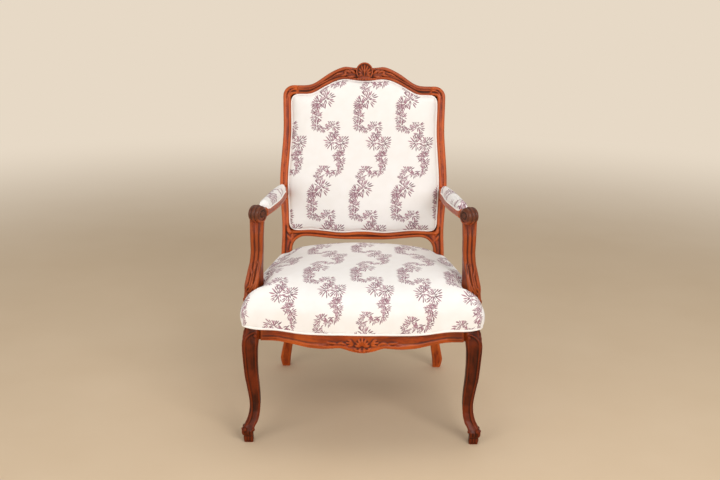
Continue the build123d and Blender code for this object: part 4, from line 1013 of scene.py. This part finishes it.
# The bead along the back frame's channel: points across and up the back.
STILE_BEAD = [(0.243, 0.108), (0.2465, 0.170), (0.2495, 0.240), (0.2475, 0.310), (0.2420, 0.380),
              (0.2400, 0.430), (0.2405, 0.480), (0.2415, 0.518)]
EAR_BEAD = [(0.2400, 0.527), (0.2353, 0.5370), (0.2290, 0.5422), (0.2205, 0.5445), (0.205, 0.5445)]
CREST_BEAD = [(0.214, 0.5445), (0.200, 0.5440), (0.182, 0.5440), (0.164, 0.5470), (0.14, 0.5600),
              (0.118, 0.5722), (0.098, 0.5830)]


def channel_bead(shape, tree, run, side=1, **more):
    """The slender bead along the middle of the frame's channel, through points across and up the back."""
    ridge(shape, tree, [on_back(side * x, rise, -0.003) for x, rise in run], 0.0020, 0.0036, **more)


def carve_post(shape):
    """The stile's middle bead, and the small leaf where it meets the lower rail."""
    tree = BVHTree.FromBMesh(shape)
    channel_bead(shape, tree, STILE_BEAD + EAR_BEAD, stations=150, taper=(0.02, 0.01))
    for rise, reach in ((0.070, 0.020), (0.084, 0.026), (0.098, 0.030)):
        ridge(shape, tree, [on_back(0.228, rise, 0), on_back(0.236, rise + reach * 0.5, 0),
                            on_back(0.240, rise + reach, 0)], 0.0034, 0.0030, taper=(0.4, 0.6), stations=16)
    return shape


wooden("crest_carved", carve_crest(node_copy("rail_back_crest")), 0.00115, CREST_WALNUT, "rail_back_crest")
wooden("lower_rail_carved", node_copy("rail_back_lower"), 0.0014, WALNUT[0], "rail_back_lower")
wooden("front_rail_carved", carve_front_rail(node_copy("rail_seat_front")), 0.0014, RAIL_WALNUT,
       "rail_seat_front")
wooden_pair("leg_front", carve_leg(node_copy("leg_front_right")), 0.0012, LEG_WALNUT)
wooden_pair("post_rear", carve_post(node_copy("post_rear_right")), 0.0016, WALNUT[2])
wooden_pair("arm_support", carve_support(node_copy("arm_support_right")), 0.0013, CONSOLE_WALNUT)
wooden_pair("arm", carve_arm(node_copy("arm_right")), 0.0013, ARM_WALNUT)


# ---------------------------------------------------------------- plain nodes kept from the model
def finish_node(name, material):
    """Give a node of the model its material."""
    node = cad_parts[name]
    node.data.materials.clear()
    node.data.materials.append(material)


for side in ("left", "right"):
    finish_node(f"rail_seat_{side}", PLAIN_WALNUT_SIDE)
    for end in ("front", "rear"):
        finish_node(f"corner_block_{end}_{side}", BEECH)
for name, material, slot in (
        ("rail_seat_rear", PLAIN_WALNUT, "walnut"),
        ("pegs_seat", PLAIN_WALNUT, "pegs"),
        ("pegs_back", PLAIN_WALNUT, "pegs"),
        ("corner_block_screws", STEEL, "steel"),
        ("seat_webbing_fore_aft", WEBBING, "webbing"),
        ("seat_webbing_cross", WEBBING, "webbing"),
        ("seat_hessian", HESSIAN, "hessian"),
        ("back_webbing", WEBBING, "webbing"),
        ("back_hessian", HESSIAN, "hessian")):
    finish_node(name, material)


# ---------------------------------------------------------------- upholstery
def swell(piece, free, cap):
    """Blow a piece up as stuffed cloth where it is free, and keep each point within a cap."""
    before = points_of(piece.data)
    held = piece.vertex_groups.new(name="held")
    for number, weight in enumerate(1 - 0.9 * free):
        held.add([number], float(weight), "REPLACE")
    cloth = piece.modifiers.new("cloth", "CLOTH")
    cloth.settings.vertex_group_mass = "held"
    cloth.settings.pin_stiffness = 1.0
    cloth.settings.use_pressure = True
    cloth.settings.uniform_pressure_force = CLOTH_PRESSURE
    cloth.settings.effector_weights.gravity = 0.0
    cloth.settings.quality = 4
    cloth.settings.tension_stiffness = 25
    cloth.settings.compression_stiffness = 25
    cloth.point_cache.frame_start = 1
    cloth.point_cache.frame_end = CLOTH_FRAMES
    for number in range(1, CLOTH_FRAMES + 1):
        bpy.context.scene.frame_set(number)
    baked(piece)
    bpy.context.scene.frame_set(1)
    piece.vertex_groups.clear()
    moved = points_of(piece.data) - before
    reach = np.linalg.norm(moved, axis=1)
    limit = cap * np.tanh(reach / cap) / np.maximum(reach, 1e-9)
    set_points(piece.data, before + moved * limit[:, None])


def finer(piece):
    """Split each face of a piece in four and round it."""
    split = piece.modifiers.new("finer", "SUBSURF")
    split.levels = split.render_levels = 1
    baked(piece)


def keep_cloth_place(piece, place):
    """Keep each point's place on the flat cloth, in metres."""
    cloth = piece.data.attributes.new("cloth", "FLOAT_VECTOR", "POINT")
    cloth.data.foreach_set("vector", place.astype(np.float32).ravel())


def level_rim(shape):
    """Draw the front of the cover's lower edge into one flowing line that rises over the knees."""
    edge = [vert for vert in shape.verts if vert.is_boundary]
    tree = KDTree(len(edge))
    for number, vert in enumerate(edge):
        tree.insert((vert.co.x, vert.co.y, 0), number)
    tree.balance()
    lifts = [float(np.interp(abs(vert.co.x), *zip(*RIM_LINE))) - vert.co.z for vert in edge]
    starts = [vert.co.z for vert in edge]
    for vert in shape.verts:
        if vert.co.z > RIM_REACH or vert.co.y > -0.20:
            continue
        number = tree.find((vert.co.x, vert.co.y, 0))[1]
        near = float(np.clip((RIM_REACH - vert.co.z) / (RIM_REACH - starts[number]), 0, 1))
        vert.co.z += lifts[number] * near * float(smoothstep(-vert.co.y, 0.215, 0.265))


def foot_dip(points):
    """How far the cover is pressed down round the foot of each arm support."""
    across, forth = np.abs(points[:, 0]), -points[:, 1]
    near = smoothstep(across, 0.250, 0.282) * smoothstep(forth, 0.130, 0.175) * (
        1 - smoothstep(forth, 0.232, 0.285))
    ceiling = 0.427 - (across - 0.285) * 0.45
    return near * np.clip(points[:, 2] - ceiling, 0, None) * 0.92


def add_block(shape, forth, across, top):
    """A block that fills a gap under the cover: its ends forth and, at each, its two sides across."""
    for vert in bmesh.ops.create_cube(shape, size=1.0)["verts"]:
        end = int(vert.co.y > 0)
        vert.co = Vector((across[end][int(vert.co.x > 0)], forth[end], top if vert.co.z > 0 else BLOCK_FLOOR))


def seat_solid():
    """The seat's cover and stuffing down to the cover's edge, its gaps over the rails filled."""
    shape = node_copy("seat_cover", "seat_stuffing")
    plug = node_copy("seat_stuffing")
    low = min(v.co.z for v in plug.verts)
    high = max(v.co.z for v in plug.verts)
    for vert in plug.verts:
        vert.co.z = COVER_EDGE + (vert.co.z - low) / (high - low) * (low - COVER_EDGE + 0.012)
    holder = bpy.data.meshes.new("seat_plug")
    plug.to_mesh(holder)
    plug.free()
    shape.from_mesh(holder)
    bpy.data.meshes.remove(holder)
    inner = max(abs(v.co.x) for v in shape.verts if v.co.y > 0.235) - 0.0005
    add_block(shape, (0.22, 0.2575), ((-inner, inner), (-inner, inner)), 0.396)
    for side in (-1, 1):
        outer = [max(side * v.co.x for v in shape.verts if abs(v.co.y - y) < 0.012) - 0.0008
                 for y in (-0.245, -0.125)]
        add_block(shape, (-0.235, -0.135), [sorted((side * 0.27, side * x)) for x in outer], 0.392)
    return shape


def seat_form(points):
    """Bring the swollen seat to its form: dips, fall to the rear, bowed front and squarer corners."""
    share = np.clip((RAIL_TOP + 0.02 - points[:, 2]) / (RAIL_TOP + 0.02 - COVER_EDGE), 0, 1)
    frontal = smoothstep(-points[:, 1], 0.20, 0.27)
    points[:, 2] -= COVER_DROP * frontal * share + foot_dip(points)
    rearward = smoothstep(points[:, 1], -0.16, 0.14)
    fall = 0.010 + 0.030 * np.clip(np.abs(points[:, 0]) / 0.26, 0, 1) ** 2.2
    points[:, 2] -= fall * rearward * smoothstep(points[:, 2], 0.395, 0.450)
    points[:, 1] -= (bow(points[:, 0]) + 0.0025 * share) * smoothstep(-points[:, 1], 0.26, 0.31)
    low = 1 - smoothstep(points[:, 2], 0.395, 0.420)
    points[:, 0] += np.sign(points[:, 0]) * 0.0012 * low * smoothstep(points[:, 1], -0.22, -0.18)
    across = np.clip(np.abs(points[:, 0]) - COVER_CORNER[0], 0, None) / CORNER_REACH
    forth = np.clip(-points[:, 1] - COVER_CORNER[1], 0, None) / CORNER_REACH
    norm = (across ** CORNER_POWER + forth ** CORNER_POWER) ** (1 / CORNER_POWER)
    squarer = np.hypot(across, forth) / np.maximum(norm, 1e-6)
    squarer = 1 + (np.where((across > 0) & (forth > 0), squarer, 1) - 1) * share ** 0.5
    points[:, 0] += np.sign(points[:, 0]) * across * CORNER_REACH * (squarer - 1)
    points[:, 1] -= forth * CORNER_REACH * (squarer - 1)
    return points


def open_underneath(piece):
    """Take the seat's underside away, level its rim and return the rim."""
    shape = bmesh.new()
    shape.from_mesh(piece.data)
    shape.normal_update()
    under = [f for f in shape.faces if f.normal.z < -0.55 and f.calc_center_median().z < 0.366]
    bmesh.ops.delete(shape, geom=under, context="FACES")
    level_rim(shape)
    rim = rim_loops(shape)[0]
    shape.to_mesh(piece.data)
    shape.free()
    return rim


def seat_place(points, normals):
    """Each point's place on the seat's flat cloth, which is folded down over the seat's edges."""
    fall = np.clip(0.425 - points[:, 2], 0, 1)
    flat = np.abs(normals[:, 0]) + np.abs(normals[:, 1]) + 1e-6
    across = points[:, 0] + np.sign(points[:, 0]) * fall * np.abs(normals[:, 0]) / flat
    forth = np.where(points[:, 1] < 0, -1.0, 1.0)
    along = points[:, 1] + forth * fall * np.abs(normals[:, 1]) / flat
    return np.stack([across - COLUMN_SHIFT + COLUMN_PITCH / 2, TRAIL_START - 0.205 - along,
                     points[:, 2] * 0], axis=1)


def seat_piece():
    """The stuffed seat in its printed cover, open underneath."""
    piece = piece_from(seat_solid(), "seat_upholstery")
    remeshed(piece, 0.006)
    smoothed(piece, 16, 0.0, 0.15 + 0.85 * smoothstep(points_of(piece.data)[:, 2], 0.385, 0.43))
    smoothed(piece, 12, -0.5)
    swell(piece, smoothstep(points_of(piece.data)[:, 2], 0.38, 0.43), 0.012)
    set_points(piece.data, seat_form(points_of(piece.data)))
    smoothed(piece, 3, -0.5)
    rim = open_underneath(piece)
    finer(piece)
    keep_cloth_place(piece, seat_place(points_of(piece.data), normals_of(piece.data)))
    wall = piece.modifiers.new("wall", "SOLIDIFY")
    wall.thickness = COVER_THICKNESS
    wall.offset = -1
    baked(piece)
    settle(piece, LINEN, "printed_linen", "seat_cover", "seat_stuffing")
    return rim


def seat_cord(rim):
    """The piping along the lower edge of the seat's cover."""
    line = softened(evenly(rim, 0.006), 6, True)
    line = np.roll(line, -int(np.argmax(line[:, 1])), axis=0)
    out = line - line.mean(axis=0)
    out[:, 2] = 0
    out /= np.linalg.norm(out, axis=1)[:, None]
    line = line + out * 0.0006
    line[:, 2] -= 0.0004
    piece = cord("seat_piping_cord", line[line[:, 1] < 0.206], CORD_RADIUS)
    settle(piece, PIPING, "piping", "seat_piping")


def back_reach(points, way):
    """How far each point lies along a way from the back's origin."""
    return (points - np.array(BACK_ORIGIN)) @ np.array(way)


def back_place(points):
    """Each point's place on the back's flat cloth."""
    rise = back_reach(points, BACK_UP)
    across = points[:, 0] - COLUMN_SHIFT - TRAIL_LEAN * (rise - 0.419)
    return np.stack([across + COLUMN_PITCH / 2, TRAIL_START + 0.475 - rise, rise * 0], axis=1)


def back_inside():
    """The stuffed inside back in its printed cover."""
    piece = piece_from(node_copy("back_cover_inside", "back_stuffing"), "back_upholstery")
    remeshed(piece, 0.0055)
    free = smoothstep(back_reach(points_of(piece.data), BACK_OUT), -0.004, 0.010)
    smoothed(piece, 24, 0.0, 0.05 + 0.95 * free)
    smoothed(piece, 8, -0.5)
    swell(piece, smoothstep(back_reach(points_of(piece.data), BACK_OUT), -0.004, 0.012), 0.006)
    points = points_of(piece.data)
    middle = np.array(BACK_ORIGIN) + np.array(BACK_UP) * BACK_MIDDLE
    out = ((points - middle) @ np.array(BACK_UP))[:, None] * np.array(BACK_UP)
    out[:, 0] = points[:, 0]
    reach = np.abs(points[:, 0]).max()
    set_points(piece.data, points + out * (BACK_HALF_WIDTH / reach - 1))
    finer(piece)
    keep_cloth_place(piece, back_place(points_of(piece.data)))
    settle(piece, LINEN, "printed_linen", "back_cover_inside", "back_stuffing")


OUTSIDE_GRID = 0.008


def back_outside():
    """The outside back's printed cover, cut into a grid and lightly rounded."""
    shape = node_copy("back_cover_outside")
    for way, start, end in ((Vector((1, 0, 0)), -0.22, 0.22), (BACK_UP, 0.08, 0.60)):
        for step in np.arange(start, end, OUTSIDE_GRID):
            bmesh.ops.bisect_plane(shape, geom=[*shape.verts, *shape.edges, *shape.faces],
                                   plane_co=BACK_ORIGIN + way * float(step), plane_no=way, dist=1e-6)
    bmesh.ops.triangulate(shape, faces=[face for face in shape.faces if len(face.verts) > 4])
    piece = piece_from(shape, "back_outside_cover")
    points = points_of(piece.data)
    rise = back_reach(points, BACK_UP)
    middle = np.clip(1 - np.abs(points[:, 0]) / 0.222, 0, 1) * np.clip(1 - np.abs(rise - 0.325) / 0.225, 0, 1)
    points -= np.array(BACK_OUT) * (0.005 * np.sqrt(middle))[:, None]
    set_points(piece.data, points)
    keep_cloth_place(piece, back_place(points_of(piece.data)))
    settle(piece, LINEN, "printed_linen", "back_cover_outside")


def back_cord(name, shift_in):
    """Piping round the back's opening, a little outside the outside cover's outline."""
    line = softened(evenly(outline_of("back_cover_outside", -BACK_OUT), 0.005), 3, True)
    line = line + outwards(line, BACK_OUT) * 0.0047 + np.array(BACK_OUT) * shift_in
    piece = cord(f"{name}_cord", softened(line, 2, True), CORD_RADIUS, True)
    settle(piece, PIPING, "piping", name)


def arm_pads():
    """The stuffed arm pads with their covers and piping."""
    right = piece_from(node_copy("arm_pad_cover_right", "arm_pad_right"), "arm_pad_right_upholstery")

    def free(low, high):
        """How free each point is: 0 at the arm's wood and 1 above it."""
        points = points_of(right.data)
        return smoothstep(points[:, 2] - pad_bed(points[:, 1]), low, high)

    remeshed(right, 0.0028)
    smoothed(right, 14, 0.0, 0.1 + 0.9 * free(0.002, 0.010))
    swell(right, free(0.002, 0.012), 0.003)
    left = mirrored(right, "arm_pad_left_upholstery")
    line = evenly(outline_of("arm_pad_right", Vector((0, -0.0787, -0.9969))), 0.004)
    line = softened(line + outwards(line, (0, 0, 1)) * 0.0034 + np.array([0, 0, 0.0022]), 3, True)
    right_cord = cord("arm_pad_piping_right_cord", line, PAD_CORD_RADIUS, True)
    left_cord = mirrored(right_cord, "arm_pad_piping_left_cord")
    for pad, edge, hand, across, along in ((right, right_cord, "right", -0.18, 0.04),
                                           (left, left_cord, "left", 0.31, 0.02)):
        points = points_of(pad.data)
        place = np.stack([points[:, 0] + across, points[:, 1] + along, points[:, 2] * 0], axis=1)
        keep_cloth_place(pad, place)
        settle(pad, LINEN, "printed_linen", f"arm_pad_cover_{hand}", f"arm_pad_{hand}")
        settle(edge, PIPING, "piping", f"arm_pad_piping_{hand}")


seat_cord(seat_piece())
back_inside()
back_outside()
back_cord("back_piping_front", 0.0230)
back_cord("back_piping_rear", -0.0005)
arm_pads()


# ---------------------------------------------------------------- floor, light and camera
BACKDROP = colour(231, 217, 198)
LAMP_TINT = (1.0, 0.985, 0.99)
CAMERA_PLACE = (-0.0088, -3.433, 1.46)
CAMERA_TILT, CAMERA_ROLL = 15.5, 0.6


def stage_floor():
    """A pale floor that fades into an even backdrop far from the chair."""
    shape = bmesh.new()
    bmesh.ops.create_circle(shape, cap_ends=True, segments=96, radius=60.0)
    floor = piece_from(shape, "floor")
    made = Nodes("floor_sand")
    place = made.mapped()
    length = made.add("ShaderNodeVectorMath", operation="LENGTH")
    made.link(place, length.inputs[0])
    far = made.ramp(length.outputs["Value"], 1.7, 4.6)
    mottle = made.mix(made.noise(place, 3.0, 4.0), colour(206, 182, 150), colour(214, 192, 162))
    floor.data.materials.append(made.finish(Base_Color=mottle, Roughness=0.75))
    glow = made.add("ShaderNodeEmission")
    glow.inputs["Color"].default_value = BACKDROP
    path = made.add("ShaderNodeLightPath").outputs
    seen = made.math("MAXIMUM", path["Is Camera Ray"],
                     made.math("MAXIMUM", path["Is Glossy Ray"], path["Is Transmission Ray"]))
    made.link(made.blend(made.math("MULTIPLY", far, seen), made.shader, glow),
              made.tree.nodes["Material Output"].inputs["Surface"])


def lamp(name, place, target, size, power, tint):
    """A soft square lamp aimed at a point."""
    light = bpy.data.lights.new(name, "AREA")
    light.energy = power
    light.size = size
    light.color = tint
    holder = bpy.data.objects.new(name, light)
    holder.matrix_world = Matrix.Translation(place) @ (
        Vector(target) - Vector(place)).to_track_quat("-Z", "Y").to_matrix().to_4x4()
    bpy.context.scene.collection.objects.link(holder)


def set_world():
    """Even warm light from all round, seen as a pale backdrop."""
    world = bpy.data.worlds.new("studio")
    world.use_nodes = True
    made = Tree(world.node_tree)
    light = made.tree.nodes["Background"]
    made.feed(light, ("Color", "Strength"), ((1.0, 0.975, 0.945, 1), 0.46))
    seen = made.add("ShaderNodeBackground")
    seen.inputs["Color"].default_value = BACKDROP
    path = made.add("ShaderNodeLightPath")
    made.link(made.blend(path.outputs["Is Camera Ray"], light, seen),
              made.tree.nodes["World Output"].inputs["Surface"])
    bpy.context.scene.world = world


def set_camera():
    """A standing person's view from the front."""
    camera = bpy.data.cameras.new("camera")
    camera.lens = 60
    camera.sensor_width = 36
    holder = bpy.data.objects.new("camera", camera)
    holder.matrix_world = (Matrix.Translation(CAMERA_PLACE)
                           @ Matrix.Rotation(math.radians(90 - CAMERA_TILT), 4, "X")
                           @ Matrix.Rotation(math.radians(CAMERA_ROLL), 4, "Z"))
    bpy.context.scene.collection.objects.link(holder)
    bpy.context.scene.camera = holder


stage_floor()
set_world()
lamp("key", (1.5, -3.1, 2.1), (0, 0, 0.5), 1.8, 78, LAMP_TINT)
lamp("fill", (-2.1, -2.9, 1.5), (0, 0, 0.5), 2.2, 46, LAMP_TINT)
lamp("top", (0.2, 0.2, 3.4), (0, 0, 0.4), 2.0, 25, (1.0, 0.95, 0.89))
set_camera()
bpy.context.scene.view_settings.view_transform = "Standard"
